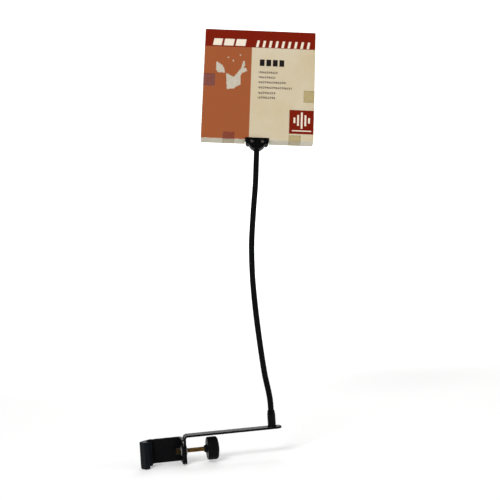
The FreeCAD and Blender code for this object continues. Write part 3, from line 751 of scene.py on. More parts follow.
def spaced(length: float, gap: float, end: float, fine: int = 8) -> Array:
    """Distances from 0 to a length, evenly apart, and closer near both ends.

    Near an end they follow end (1 - cos a), so that rings stand evenly round a rounded end.
    """
    close = end * (1 - np.cos(np.linspace(0, math.pi / 2, fine + 1)))
    middle = np.linspace(end, length - end, max(2, int((length - 2 * end) / gap)))
    return np.unique(np.round(np.concatenate([close, middle, length - close]), 9))


def round_off(distance: Array, radius: float) -> Array:
    """How far a rounded end stands in at a distance from its tip: r - sqrt(r^2 - (r - d)^2)."""
    short = np.clip(radius - distance, 0, radius)
    return radius - np.sqrt(np.maximum(radius ** 2 - short ** 2, 0))


def section(steps: int = 4) -> tuple[Array, Array, Array]:
    """A rounded rectangle's recipe.

    Returns:
        For each point the corner that it belongs to, as signs, the direction from that corner's
        centre, and 1 in the middle of a corner's arc falling to 0 at the arc's ends.
    """
    share = np.linspace(0, 1, steps + 1)
    corner = np.arange(4)
    angle = (corner[:, None] + share[None, :]) * math.pi / 2
    signs = np.array([[1, 1], [-1, 1], [-1, -1], [1, -1]], float)
    signs = np.repeat(signs, steps + 1, 0)
    wear = np.tile(np.sin(share * math.pi), 4)
    return signs, np.stack([np.cos(angle), np.sin(angle)], -1).reshape(-1, 2), wear


@dataclass
class Patch:
    """A run of rings, each with as many points, joined by four-sided faces."""

    rings: Array
    wear: Array | None = None
    wrap: bool = False
    capped: bool = True
    open_sheet: bool = False

    def faces(self, start: int) -> list[list[int]]:
        """Faces between neighbouring rings and across the ends, as point numbers from a start."""
        count, around = self.rings.shape[:2]
        last = count if self.wrap else count - 1
        rim = around - 1 if self.open_sheet else around
        i = np.arange(last)[:, None]
        j = np.arange(rim)[None, :]
        over, beside = (i + 1) % count, (j + 1) % around
        quads = np.stack([i * around + j, i * around + beside, over * around + beside,
                          over * around + j], -1).reshape(-1, 4) + start
        found = quads.tolist()
        if self.capped and not self.wrap and not self.open_sheet:
            found.append((np.arange(around)[::-1] + start).tolist())
            found.append((np.arange(around) + (count - 1) * around + start).tolist())
        return found


def mesh_piece(name: str, patches: Sequence[Patch], attribute: str = "wear") -> bpy.types.Object:
    """An object from patches, with its faces pointing out and a number kept on its points."""
    points = np.concatenate([patch.rings.reshape(-1, 3) for patch in patches])
    faces: list[list[int]] = []
    start = 0
    for patch in patches:
        found = patch.faces(start)
        if not patch.open_sheet:
            found = outward(points, found)
        faces += found
        start += patch.rings.shape[0] * patch.rings.shape[1]
    mesh = bpy.data.meshes.new(name)
    mesh.from_pydata(points.tolist(), [], faces)
    values = [np.zeros(patch.rings.shape[:2]) if patch.wear is None
              else np.broadcast_to(patch.wear, patch.rings.shape[:2]) for patch in patches]
    layer = mesh.attributes.new(attribute, "FLOAT", "POINT")
    joined = np.concatenate([value.reshape(-1) for value in values])
    layer.data.foreach_set("value", joined.astype(np.float32))
    mesh.polygons.foreach_set("use_smooth", np.ones(len(mesh.polygons), bool))
    mesh.update()
    piece = bpy.data.objects.new(name, mesh)
    bpy.context.scene.collection.objects.link(piece)
    return piece


def outward(points: Array, faces: list[list[int]]) -> list[list[int]]:
    """Turn a closed shell's faces round if they point in.

    A shell's volume is a sixth of the sum, over its triangles, of the triple product of their
    corners; it is negative where the faces point in.
    """
    corners = np.array([face[:3] for face in faces])
    others = np.array([[face[0], face[2], face[3]] for face in faces if len(face) == 4])
    triangles = points[np.concatenate([corners, others])] - points[faces[0][0]]
    volume = np.einsum("ij,ij->i", triangles[:, 0], np.cross(triangles[:, 1], triangles[:, 2]))
    return [face[::-1] for face in faces] if volume.sum() < 0 else faces


def sweep(path: Array, side: Array, up: Array, half_side: Array, half_up: Array,
          corner: float) -> Patch:
    """A rounded rectangle carried along a path.

    Every ring is the path's point plus, for each corner, its signs times the half sizes less the
    corner's radius, plus the radius times the arc's direction, along the side and up vectors.
    """
    signs, ways, wear = section()
    radius = np.minimum(corner, np.minimum(half_side, half_up) * 0.98)[:, None]
    along_side = signs[None, :, 0] * (half_side[:, None] - radius) + ways[None, :, 0] * radius
    along_up = signs[None, :, 1] * (half_up[:, None] - radius) + ways[None, :, 1] * radius
    rings = (path[:, None, :] + along_side[..., None] * side[:, None, :]
             + along_up[..., None] * up[:, None, :])
    return Patch(rings, wear[None, :])


def turned(profile: Array, origin: Vector, axis: Vector, around: int = 72, wrap: bool = False,
           wear: Array | None = None) -> Patch:
    """A profile of (distance along an axis, radius) turned round the axis.

    Each ring is the origin plus the distance along the axis plus the radius times a unit vector
    that goes round with the cosine and sine of the angle.
    """
    way = np.array(axis.normalized())
    helper = np.array((0.0, 0.0, 1.0)) if abs(way[2]) < 0.9 else np.array((1.0, 0.0, 0.0))
    first = unit(np.cross(helper, way))
    second = np.cross(way, first)
    angle = np.linspace(0, 2 * math.pi, around, endpoint=False)
    spoke = np.cos(angle)[:, None] * first + np.sin(angle)[:, None] * second
    rings = (np.array(origin) + profile[:, 0, None, None] * way
             + profile[:, 1, None, None] * spoke[None])
    return Patch(rings, None if wear is None else wear[:, None], wrap=wrap)


def fading(distance: Array, reach: float) -> Array:
    """A ramp from 1 at no distance down to 0 at the reach."""
    return np.clip(1 - distance / reach, 0, 1)


def edge_wear(profile: Array) -> Array:
    """1 where a turned profile bends sharply and 0 where it runs straight."""
    before, after = unit(profile - np.roll(profile, 1, 0)), unit(np.roll(profile, -1, 0) - profile)
    bend = np.linalg.norm(after - before, axis=1)
    bend[0] = bend[-1] = 0.0
    return np.clip(bend * 4.0, 0, 1)


def outline_rings(outline: Array, depths: Array, insets: Array, matrix: Matrix) -> Array:
    """A closed outline at several depths, moved in along its own normals by each depth's inset.

    Args:
        outline: (x, z) points, anticlockwise.
        depths: the rings' y.
        insets: how far in each ring stands.
        matrix: the frame that the rings are in.

    Returns:
        The rings in the clamp's frame.
    """
    tangent = unit(np.roll(outline, -1, 0) - np.roll(outline, 1, 0))
    inward = np.stack([-tangent[:, 1], tangent[:, 0]], 1)
    flat = outline[None] + insets[:, None, None] * inward[None]
    deep = np.broadcast_to(depths[:, None], flat.shape[:2])
    rings = np.stack([flat[..., 0], deep, flat[..., 1]], -1)
    return carried(rings, matrix)


def carried(points: Array, matrix: Matrix) -> Array:
    """Points of a frame in the clamp's frame."""
    turn = np.array(matrix.to_3x3())
    return points @ turn.T + np.array(matrix.translation)


def baked(piece: bpy.types.Object) -> None:
    """Give an object the mesh that its modifiers make, and take the modifiers off."""
    graph = bpy.context.evaluated_depsgraph_get()
    mesh = bpy.data.meshes.new_from_object(piece.evaluated_get(graph), depsgraph=graph)
    piece.modifiers.clear()
    old, piece.data = piece.data, mesh
    mesh.name = old.name
    bpy.data.meshes.remove(old)


def carve(piece: bpy.types.Object, cutters: Sequence[Patch]) -> None:
    """Cut closed shells out of a piece."""
    tool = mesh_piece("cutter", cutters)
    cut = piece.modifiers.new("cut", "BOOLEAN")
    cut.operation, cut.solver, cut.object = "DIFFERENCE", "EXACT", tool
    bpy.context.view_layer.update()
    baked(piece)
    bpy.data.objects.remove(tool)


def crisp(piece: bpy.types.Object, degrees: float = 32.0) -> None:
    """Smooth shading with flat faces kept flat and sharp folds kept sharp."""
    mesh = piece.data
    mesh.polygons.foreach_set("use_smooth", np.ones(len(mesh.polygons), bool))
    mesh.set_sharp_from_angle(angle=math.radians(degrees))
    weighted = piece.modifiers.new("flats", "WEIGHTED_NORMAL")
    weighted.keep_sharp = True


@dataclass
class Bench:
    """Where pieces are finished: it holds the frame and counts what has been made."""

    frame: dict[str, Any]
    made: list[str] = field(default_factory=list)

    def fit(self, piece: bpy.types.Object, finish: Finish, body: str | tuple,
            replaces: Sequence[str] = ()) -> bpy.types.Object:
        """Give a piece its finish, its body unless body is a tuple, and the nodes that it stands
        for.

        Args:
            piece: a finished mesh.
            finish: its finish.
            body: the body that it rides on. A tuple (two bodies, a start and an end) is not used:
                the piece stays unattached where it is.
            replaces: the nodes that it stands for.

        Returns:
            The piece.
        """
        piece.data.materials.clear()
        piece.data.materials.append(finish.material())
        if isinstance(body, tuple):
            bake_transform(piece)
        else:
            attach(piece, body)
        if replaces:
            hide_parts(*replaces)
        self.made.append(piece.name)
        log.info("%s: %d faces in %s", piece.name, len(piece.data.polygons), finish.name)
        return piece

    def keep(self, node: str, finish: Finish, bevel: float = 0.0) -> bpy.types.Object:
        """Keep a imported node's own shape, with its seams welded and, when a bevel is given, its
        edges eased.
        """
        piece = self.frame["nodes"][node]
        piece.data.materials.clear()
        piece.data.materials.append(finish.material())
        piece.data.polygons.foreach_set("use_smooth", np.ones(len(piece.data.polygons), bool))
        weld = piece.modifiers.new("weld", "WELD")
        weld.merge_threshold = 0.002 * MM
        if bevel:
            ease = piece.modifiers.new("ease", "BEVEL")
            ease.width, ease.segments, ease.limit_method = bevel, 2, "ANGLE"
            ease.angle_limit = math.radians(40)
            ease.harden_normals = True
        else:
            piece.modifiers.new("flats", "WEIGHTED_NORMAL").keep_sharp = True
        self.made.append(node)
        log.info("%s: kept in %s", node, finish.name)
        return piece


# ----------------------------------------------------------------------------------- stand clamp
@dataclass
class StandClamp:
    """The folded strap with its rubber boot, the arm, the bush and the arm's fixing screw."""

    height: float = 26.0 * MM
    thick: float = 2.5 * MM
    jaw: float = 9.0 * MM
    saddle: float = 1.4 * MM
    web_back: float = 16.0 * MM
    ear_inner: float = 28.0 * MM
    ear_front: float = 8.0 * MM
    bevel_angle: float = 36.0
    lip_angle: float = 60.0
    lip_length: float = 12.6 * MM
    bend: float = 2.45 * MM
    edge: float = 0.5 * MM
    ear_corner: float = 2.0 * MM
    arm_thick: float = 2.2 * MM
    arm_width: float = 14.0 * MM
    arm_tip: float = 138.0 * MM
    arm_gap: float = 1.6 * MM
    arm_bend: float = 3.1 * MM
    bush: float = 4.0 * MM
    collar: float = 5.0 * MM
    collar_thick: float = 1.0 * MM
    bore: float = 2.56 * MM
    fixing: float = 2.1 * MM
    fixing_head: float = 4.0 * MM
    voxel: float = 0.32 * MM

    def strap_line(self) -> Array:
        """The strap's middle line in plan, from the ear's front round to the lip's end.

        Both flats of the fold stand one saddle wall clear of the jaw's circle, so the fold's
        corner lies on their bisector at the clearance over the sine of half the angle between
        them.
        """
        clear = self.jaw + self.saddle + self.thick / 2
        half = math.radians((self.bevel_angle + self.lip_angle) / 2)
        turn = math.radians((self.bevel_angle - self.lip_angle) / 2)
        fold = -np.array((math.cos(turn), math.sin(turn))) * clear / math.sin(half)
        web = self.web_back - self.thick / 2
        slope = math.tan(math.radians(self.bevel_angle))
        bend = np.array((fold[0] + (web - fold[1]) / slope, web))
        lip = math.radians(-self.lip_angle)
        end = fold + self.lip_length * np.array((math.cos(lip), math.sin(lip)))
        ear = self.ear_inner + self.thick / 2
        line = np.array([(ear, -self.ear_front), (ear, web), bend, fold, end])
        return rounded(line, self.bend, steps=10)

    def build_strap(self, bench: Bench) -> None:
        """Carry the strap's section along its line, and cut the bush's hole in the ear."""
        line = self.strap_line()
        total = lengths(line)[-1]
        where = spaced(total, 0.8 * MM, self.ear_corner, 12)
        flat = at(line, where)
        way = unit(np.gradient(flat, where, axis=0))
        path = np.column_stack([flat, np.zeros(len(flat))])
        side = np.column_stack([way[:, 1], -way[:, 0], np.zeros(len(flat))])
        up = np.tile((0.0, 0.0, 1.0), (len(flat), 1))
        ease = round_off(np.minimum(where, total - where), self.edge)
        corner = round_off(where, self.ear_corner)
        patch = sweep(path, side, up, self.thick / 2 - ease,
                      self.height / 2 - np.maximum(ease, corner), self.edge)
        strap = mesh_piece("strap", [patch])
        carve(strap, [self.rod(self.bush, self.ear_inner - 0.01, self.ear_inner + 0.01)])
        crisp(strap)
        bench.fit(strap, BlackPaint(), "stand_clamp", ["clamp_strap"])

    def rod(self, radius: float, start: float, end: float) -> Patch:
        """A closed rod along the thumb screw's axis."""
        profile = np.array([(start, radius), (end, radius)])
        return turned(profile, Vector((0, 0, 0)), Vector((1, 0, 0)), around=64)

    def build_arm(self, bench: Bench, foot: Vector) -> None:
        """Carry the arm's section up the ear, round its bend and out to its round tip."""
        face = self.ear_inner + self.thick
        x, z = face + self.arm_thick / 2, self.height / 2 + self.arm_gap + self.arm_thick / 2
        corners = [(x, -self.height / 2), (x, z), (self.arm_tip, z)]
        line = rounded(corners, self.arm_bend, steps=12)
        total = lengths(line)[-1]
        tip = self.arm_width / 2
        where = spaced(total, 0.9 * MM, tip, 22)
        flat = at(line, where)
        way = unit(np.gradient(flat, where, axis=0))
        path = np.column_stack([flat[:, 0], np.zeros(len(flat)), flat[:, 1]])
        side = np.tile((0.0, 1.0, 0.0), (len(flat), 1))
        up = np.column_stack([-way[:, 1], np.zeros(len(flat)), way[:, 0]])
        ease = round_off(np.minimum(where, total - where), self.edge * 0.8)
        wide = self.arm_width / 2 - np.maximum(round_off(total - where, tip), ease)
        wide = np.maximum(wide, self.edge * 0.2)
        patch = sweep(path, side, up, wide, self.arm_thick / 2 - ease, self.edge * 0.8)
        arm = mesh_piece("arm", [patch])
        low = z - self.arm_thick / 2
        drop = 1.0 * MM
        sink = np.array([(-drop, self.fixing_head), (0.0, self.fixing_head),
                         (self.fixing_head - self.fixing, self.fixing),
                         (self.arm_thick + drop, self.fixing)])
        hole = turned(sink, Vector((foot.x, 0, low)), Vector((0, 0, 1)), around=48)
        carve(arm, [self.rod(self.bush, face - drop, face + self.arm_thick + drop), hole])
        crisp(arm)
        bench.fit(arm, BlackPaint(name="arm_paint", rough=0.26, wear=0.46, level=0.02),
                  "stand_clamp", ["arm_bar"])

    def build_bush(self, bench: Bench) -> None:
        """Turn the swaged bush, a closed loop with a collar on each side of the metal."""
        start, end = self.ear_inner, self.ear_inner + self.thick + self.arm_thick
        loop = [(start - self.collar_thick, self.bore), (start - self.collar_thick, self.collar),
                (start, self.collar), (start, self.bush - 0.02 * MM), (end, self.bush - 0.02 * MM),
                (end, self.collar), (end + self.collar_thick, self.collar),
                (end + self.collar_thick, self.bore)]
        eased = np.array((0.15, 0.4, 0.1, 0.1, 0.1, 0.1, 0.4, 0.15)) * MM
        profile = rounded(loop, eased, closed=True, steps=4)
        patch = turned(profile, Vector((0, 0, 0)), Vector((1, 0, 0)), wrap=True)
        bush = mesh_piece("bush", [patch])
        crisp(bush)
        bench.fit(bush, BareMetal(), "stand_clamp", ["threaded_bush"])

    def build_boot(self, bench: Bench) -> None:
        """Soften the boot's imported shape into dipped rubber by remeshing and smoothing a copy."""
        boot = bpy.data.objects.new("boot", bench.frame["nodes"]["jaw_saddle"].data.copy())
        bpy.context.scene.collection.objects.link(boot)
        boot.modifiers.new("weld", "WELD").merge_threshold = 0.002 * MM
        remesh = boot.modifiers.new("remesh", "REMESH")
        remesh.mode, remesh.voxel_size = "VOXEL", self.voxel
        soften = boot.modifiers.new("soften", "SMOOTH")
        soften.factor, soften.iterations = 0.5, 5
        bpy.context.view_layer.update()
        baked(boot)
        boot.data.polygons.foreach_set("use_smooth", np.ones(len(boot.data.polygons), bool))
        bench.fit(boot, BootRubber(), "stand_clamp", ["jaw_saddle"])

    def build(self, bench: Bench, foot: Vector) -> None:
        """Build the clamp; foot is the middle of the neck's ferrule."""
        self.build_strap(bench)
        self.build_boot(bench)
        self.build_arm(bench, foot)
        self.build_bush(bench)
        bench.keep("ferrule_screw", BareMetal(), 0.12 * MM)


# ----------------------------------------------------------------------------------- thumb screw
@dataclass
class ThumbScrew:
    """The turned tip, the threaded screw and its moulded knob, all on the X axis."""

    tip_start: float = 21.7 * MM
    tip_length: float = 4.8 * MM
    tip_radius: float = 3.1 * MM
    pin: float = 1.5 * MM
    pin_socket: float = 3.2 * MM
    pitch: float = 0.8 * MM
    crest: float = 2.5 * MM
    depth: float = 0.42 * MM
    thread_end: float = 53.0 * MM
    screw_end: float = 64.0 * MM
    knob_start: float = 55.3 * MM
    knob_end: float = 67.7 * MM
    knob_radius: float = 12.2 * MM
    boss_length: float = 3.2 * MM
    axis: Vector = field(default_factory=lambda: Vector((1, 0, 0)))

    def turn(self, name: str, corners: Sequence[Sequence[float]], radii: Sequence[float],
             around: int = 72) -> bpy.types.Object:
        """A piece turned from an open profile that starts and ends near the axis."""
        profile = rounded(corners, np.array(radii), steps=6)
        patch = turned(profile, Vector((0, 0, 0)), self.axis, around, wear=edge_wear(profile))
        piece = mesh_piece(name, [patch])
        crisp(piece, 40)
        return piece

    def build_tip(self, bench: Bench) -> None:
        """Turn the pressure tip, with the socket that the screw's pin runs in, in brass darkened as
        painted shade.
        """
        start, end, radius = self.tip_start, self.tip_start + self.tip_length, self.tip_radius
        hole = self.pin + 0.06 * MM
        near = 0.02 * MM
        corners = [(start, near), (start, radius - 0.8 * MM), (start + 0.8 * MM, radius),
                   (end, radius), (end, hole), (end - self.pin_socket, hole),
                   (end - self.pin_socket, near)]
        radii = np.array((0.3, 0.3, 0.25, 0.15, 0.1)) * MM
        tip = self.turn("screw_tip_cap", corners, radii)
        # The tip's brass is painted far darker than the screw's: painted shade for the clamp's
        # shadow that falls on it.
        brass = BareMetal("yellow_brass", "shade_darkened_brass", paint(0.22, 0.17, 0.09),
                          paint(0.08, 0.06, 0.04), 0.42)
        bench.fit(tip, brass, "screw_tip", ["pressure_tip"])

    def build_screw(self, bench: Bench) -> None:
        """Cut the thread: the radius falls from the crest by a rounded saw-tooth of the helix.

        The saw-tooth's phase is the distance along over the pitch less the angle over a full turn;
        the pin and the plain end come from a limit on the radius along the screw.
        """
        start = self.tip_start + self.tip_length + 0.15 * MM
        pin_start = start - 3.0 * MM
        lead = 0.5 * MM
        thread = np.arange(start + 0.02 * MM, self.thread_end, self.pitch / 8)
        along = np.concatenate([[pin_start, pin_start + 0.2 * MM, start], thread,
                                [self.thread_end, self.screw_end]])
        limits = np.interp(along, [pin_start, pin_start + 0.2 * MM, start, start + 0.01 * MM,
                                   start + lead, self.screw_end],
                           [self.pin - 0.2 * MM, self.pin, self.pin, self.crest - lead, self.crest,
                            self.crest])
        angle = np.linspace(0, 2 * math.pi, 36, endpoint=False)
        phase = along[:, None] / self.pitch - angle[None, :] / (2 * math.pi)
        wave = np.abs((phase % 1.0) * 2 - 1)
        cut = self.depth * np.clip((wave - 0.12) / 0.80, 0, 1)
        inside = ((along > start + 0.01 * MM) & (along < self.thread_end))[:, None]
        radius = np.minimum(limits[:, None], np.where(inside, self.crest - cut, self.crest))
        rings = np.stack([np.broadcast_to(along[:, None], radius.shape),
                          radius * np.cos(angle), radius * np.sin(angle)], -1)
        screw = mesh_piece("screw", [Patch(rings)])
        brass = BareMetal("yellow_brass", "yellow_passivate", paint(0.56, 0.45, 0.26),
                          paint(0.27, 0.21, 0.13), 0.32)
        crisp(screw, 60)
        bench.fit(screw, brass, "screw_and_knob", ["thumb_screw"])

    def build_knob(self, bench: Bench) -> None:
        """Turn the knob: a tapered boss, a flat back, soft rims and a low domed face."""
        start, end, radius = self.knob_start, self.knob_end, self.knob_radius
        shank = self.crest + 0.01 * MM
        corners = [(start - self.boss_length, shank), (start - self.boss_length, shank + 0.8 * MM),
                   (start, shank + 2.4 * MM), (start, radius - 0.7 * MM),
                   (start + 1.4 * MM, radius), (end - 2.4 * MM, radius),
                   (end - 0.9 * MM, radius - 1.5 * MM), (end, radius - 5.5 * MM),
                   (end, 0.4 * MM)]
        radii = np.array((0.3, 0.8, 0.6, 1.2, 2.4, 1.2, 3.0)) * MM
        knob = self.turn("clamp_knob", corners, radii, 96)
        bench.fit(knob, MouldedPlastic(name="knob_plastic"), "screw_and_knob", ["knob"])

    def build(self, bench: Bench) -> None:
        """Build the tip, the screw and the knob."""
        self.build_tip(bench)
        self.build_screw(bench)
        self.build_knob(bench)


# --------------------------------------------------------------------------------------- the head
@dataclass(frozen=True)
class Head:
    """The head's frame: yaw about Z, lean to the back, then roll, placed by the card box."""

    origin: tuple[float, float, float]
    yaw: float = -9.0
    lean: float = 12.5
    roll: float = 6.0
    mid: float = 5.7 * MM

    @classmethod
    def found(cls, half_deep: float, middle_high: float) -> "Head":
        """The head's frame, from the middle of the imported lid.

        Args:
            half_deep: half the lid's depth.
            middle_high: the height of its middle in the head's frame.

        Returns:
            The frame.
        """
        low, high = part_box("carton_lid")
        turn = cls((0, 0, 0)).matrix().to_3x3()
        return cls(tuple((low + high) / 2 - turn @ Vector((0, half_deep, middle_high))))

    def matrix(self) -> Matrix:
        """The frame as a matrix."""
        turn = (Matrix.Rotation(math.radians(self.yaw), 4, "Z")
                @ Matrix.Rotation(math.radians(-self.lean), 4, "X")
                @ Matrix.Rotation(math.radians(self.roll), 4, "Y"))
        return Matrix.Translation(self.origin) @ turn

    def point(self, x: float, y: float, z: float) -> Vector:
        """A point of the frame in the clamp's frame."""
        return self.matrix() @ Vector((x, y, z))

    def places(self, shader: Shader) -> tuple[Wire, Wire, Wire]:
        """A point's own x, y and z in this frame, in millimetres."""
        turn = self.matrix().to_euler()
        local = shader.node("ShaderNodeMapping", {"vector_type": "TEXTURE"},
                            {"Vector": shader.place(), "Location": self.origin,
                             "Rotation": tuple(turn), "Scale": (MM, MM, MM)})
        split = shader.node("ShaderNodeSeparateXYZ", None, {0: local})
        outputs = split.socket.node.outputs
        return tuple(Wire(shader, outputs[name]) for name in ("X", "Y", "Z"))


# ------------------------------------------------------------------------------------- gooseneck
@dataclass
class Gooseneck:
    """The ferrule on the arm and the wound neck, in pieces that each span one of its joints."""

    head: Head
    radius: float = 3.2 * MM
    pitch: float = 1.7 * MM
    groove: float = 0.34 * MM
    per_turn: int = 8
    around: int = 30
    ferrule: float = 4.4 * MM
    mouth: float = 3.7 * MM
    slope: float = 4.5 * MM
    flange: float = 0.5 * MM
    bore: float = 3.24 * MM
    inside: float = 6.0 * MM
    held: float = 8.6 * MM
    run: float = 34.6 * MM

    def build_ferrule(self, bench: Bench) -> None:
        """Turn the ferrule: a flanged foot, a plain barrel and a shoulder sloped to the neck."""
        low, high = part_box("neck_ferrule")
        tall = high.z - low.z
        loop = [(0.0, self.bore), (0.0, self.ferrule + self.flange),
                (0.9 * MM, self.ferrule + self.flange), (1.3 * MM, self.ferrule),
                (tall - self.slope, self.ferrule), (tall, self.mouth), (tall, self.bore)]
        radii = np.array((0.05, 0.2, 0.3, 0.3, 1.6, 0.3, 0.1)) * MM
        profile = rounded(loop, radii, closed=True, steps=6)
        foot = Vector(((low.x + high.x) / 2, (low.y + high.y) / 2, low.z))
        patch = turned(profile, foot, Vector((0, 0, 1)), wrap=True, wear=edge_wear(profile) * 0.6)
        ferrule = mesh_piece("ferrule", [patch])
        crisp(ferrule, 50)
        bench.fit(ferrule, GlossBlack(), "stand_clamp", ["neck_ferrule"])

    def route(self, bench: Bench) -> tuple[Array, Array]:
        """The neck's smooth middle line.

        It passes through the joints, with each one's tangent taken from its neighbours and a cubic
        between neighbours that meets those tangents.

        Returns:
            The line's points, and the distance along it of each point that it passes through.
        """
        low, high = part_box("neck_ferrule")
        x, y = (low.x + high.x) / 2, (low.y + high.y) / 2
        bends = [joint for joint in bench.frame["joints"] if joint["name"].startswith("neck_bend")]
        bends.sort(key=lambda joint: int(joint["name"].rsplit("_", 1)[1]))
        top = [self.head.point(0, self.head.mid, level)
               for level in (-self.run / 2, 0.0, self.held)]
        knots = np.array([(x, y, high.z - self.inside), (x, y, high.z)]
                         + [joint["pos_m"] for joint in bends] + [tuple(p) for p in top])
        knot_at = lengths(knots)
        slopes = np.gradient(knots, knot_at, axis=0)
        where = np.linspace(0, knot_at[-1], 6000)
        i = np.clip(np.searchsorted(knot_at, where, side="right") - 1, 0, len(knots) - 2)
        span = (knot_at[i + 1] - knot_at[i])[:, None]
        t = ((where - knot_at[i]) / span[:, 0])[:, None]
        square, cube = t ** 2, t ** 3
        line = ((2 * cube - 3 * square + 1) * knots[i] + (cube - 2 * square + t) * span * slopes[i]
                + (3 * square - 2 * cube) * knots[i + 1] + (cube - square) * span * slopes[i + 1])
        return line, np.interp(knot_at, where, lengths(line))

    def tube(self, path: Array, where: Array) -> Patch:
        """The wound tube: rings round the path whose radius follows a helix of round wire.

        The wire's height over its groove is the square root of 1 - u squared, with u from -1 to 1
        across one turn, and the turn's phase is distance over pitch less angle over a full turn.
        """
        way = unit(np.gradient(path, where, axis=0))
        first = unit(np.array((1.0, 0.0, 0.0)) - way * way[:, :1])
        second = np.cross(way, first)
        angle = np.linspace(0, 2 * math.pi, self.around, endpoint=False)
        phase = where[:, None] / self.pitch - angle[None, :] / (2 * math.pi)
        across = (phase % 1.0) * 2 - 1
        crest = np.sqrt(np.maximum(1 - (across * 0.98) ** 2, 0))
        radius = self.radius - self.groove * (1 - crest)
        spoke = (np.cos(angle)[None, :, None] * first[:, None, :]
                 + np.sin(angle)[None, :, None] * second[:, None, :])
        return Patch(path[:, None, :] + radius[..., None] * spoke, crest)

    def build_neck(self, bench: Bench) -> None:
        """Cut the tube half way along every link, so that each piece spans one joint."""
        line, marks = self.route(bench)
        total = lengths(line)[-1]
        where = np.arange(0, total, self.pitch / self.per_turn)
        path = at(line, where)
        tube = self.tube(path, where)
        joints = marks[2:-3]
        middles = (joints[1:] + joints[:-1]) / 2
        cuts = np.concatenate([[0.0], middles, [total]])
        numbers = np.searchsorted(where, cuts)
        numbers[-1] = len(where) - 1
        count = len(joints)
        for k in range(count):
            a, b = numbers[k], numbers[k + 1] + 1
            stretch = Patch(tube.rings[a:b], tube.wear[a:b])
            piece = mesh_piece(f"neck_run_{k + 1}", [stretch], "crest")
            before = "stand_clamp" if k == 0 else f"neck_link_{k}"
            after = "filter_head" if k == count - 1 else f"neck_link_{k + 1}"
            start = path[np.searchsorted(where, marks[1])] if k == 0 else path[a]
            end = path[np.searchsorted(where, marks[-3])] if k == count - 1 else path[b - 1]
            nodes = ["neck_root", "neck_1"] if k == 0 else [f"neck_{k + 1}"]
            bench.fit(piece, WoundNeck(), (before, after, tuple(start), tuple(end)), nodes)

    def build(self, bench: Bench) -> None:
        """Build the ferrule and the neck, and finish the sleeve at its top."""
        self.build_ferrule(bench)
        self.build_neck(bench)
        bench.keep("neck_sleeve", BareMetal())


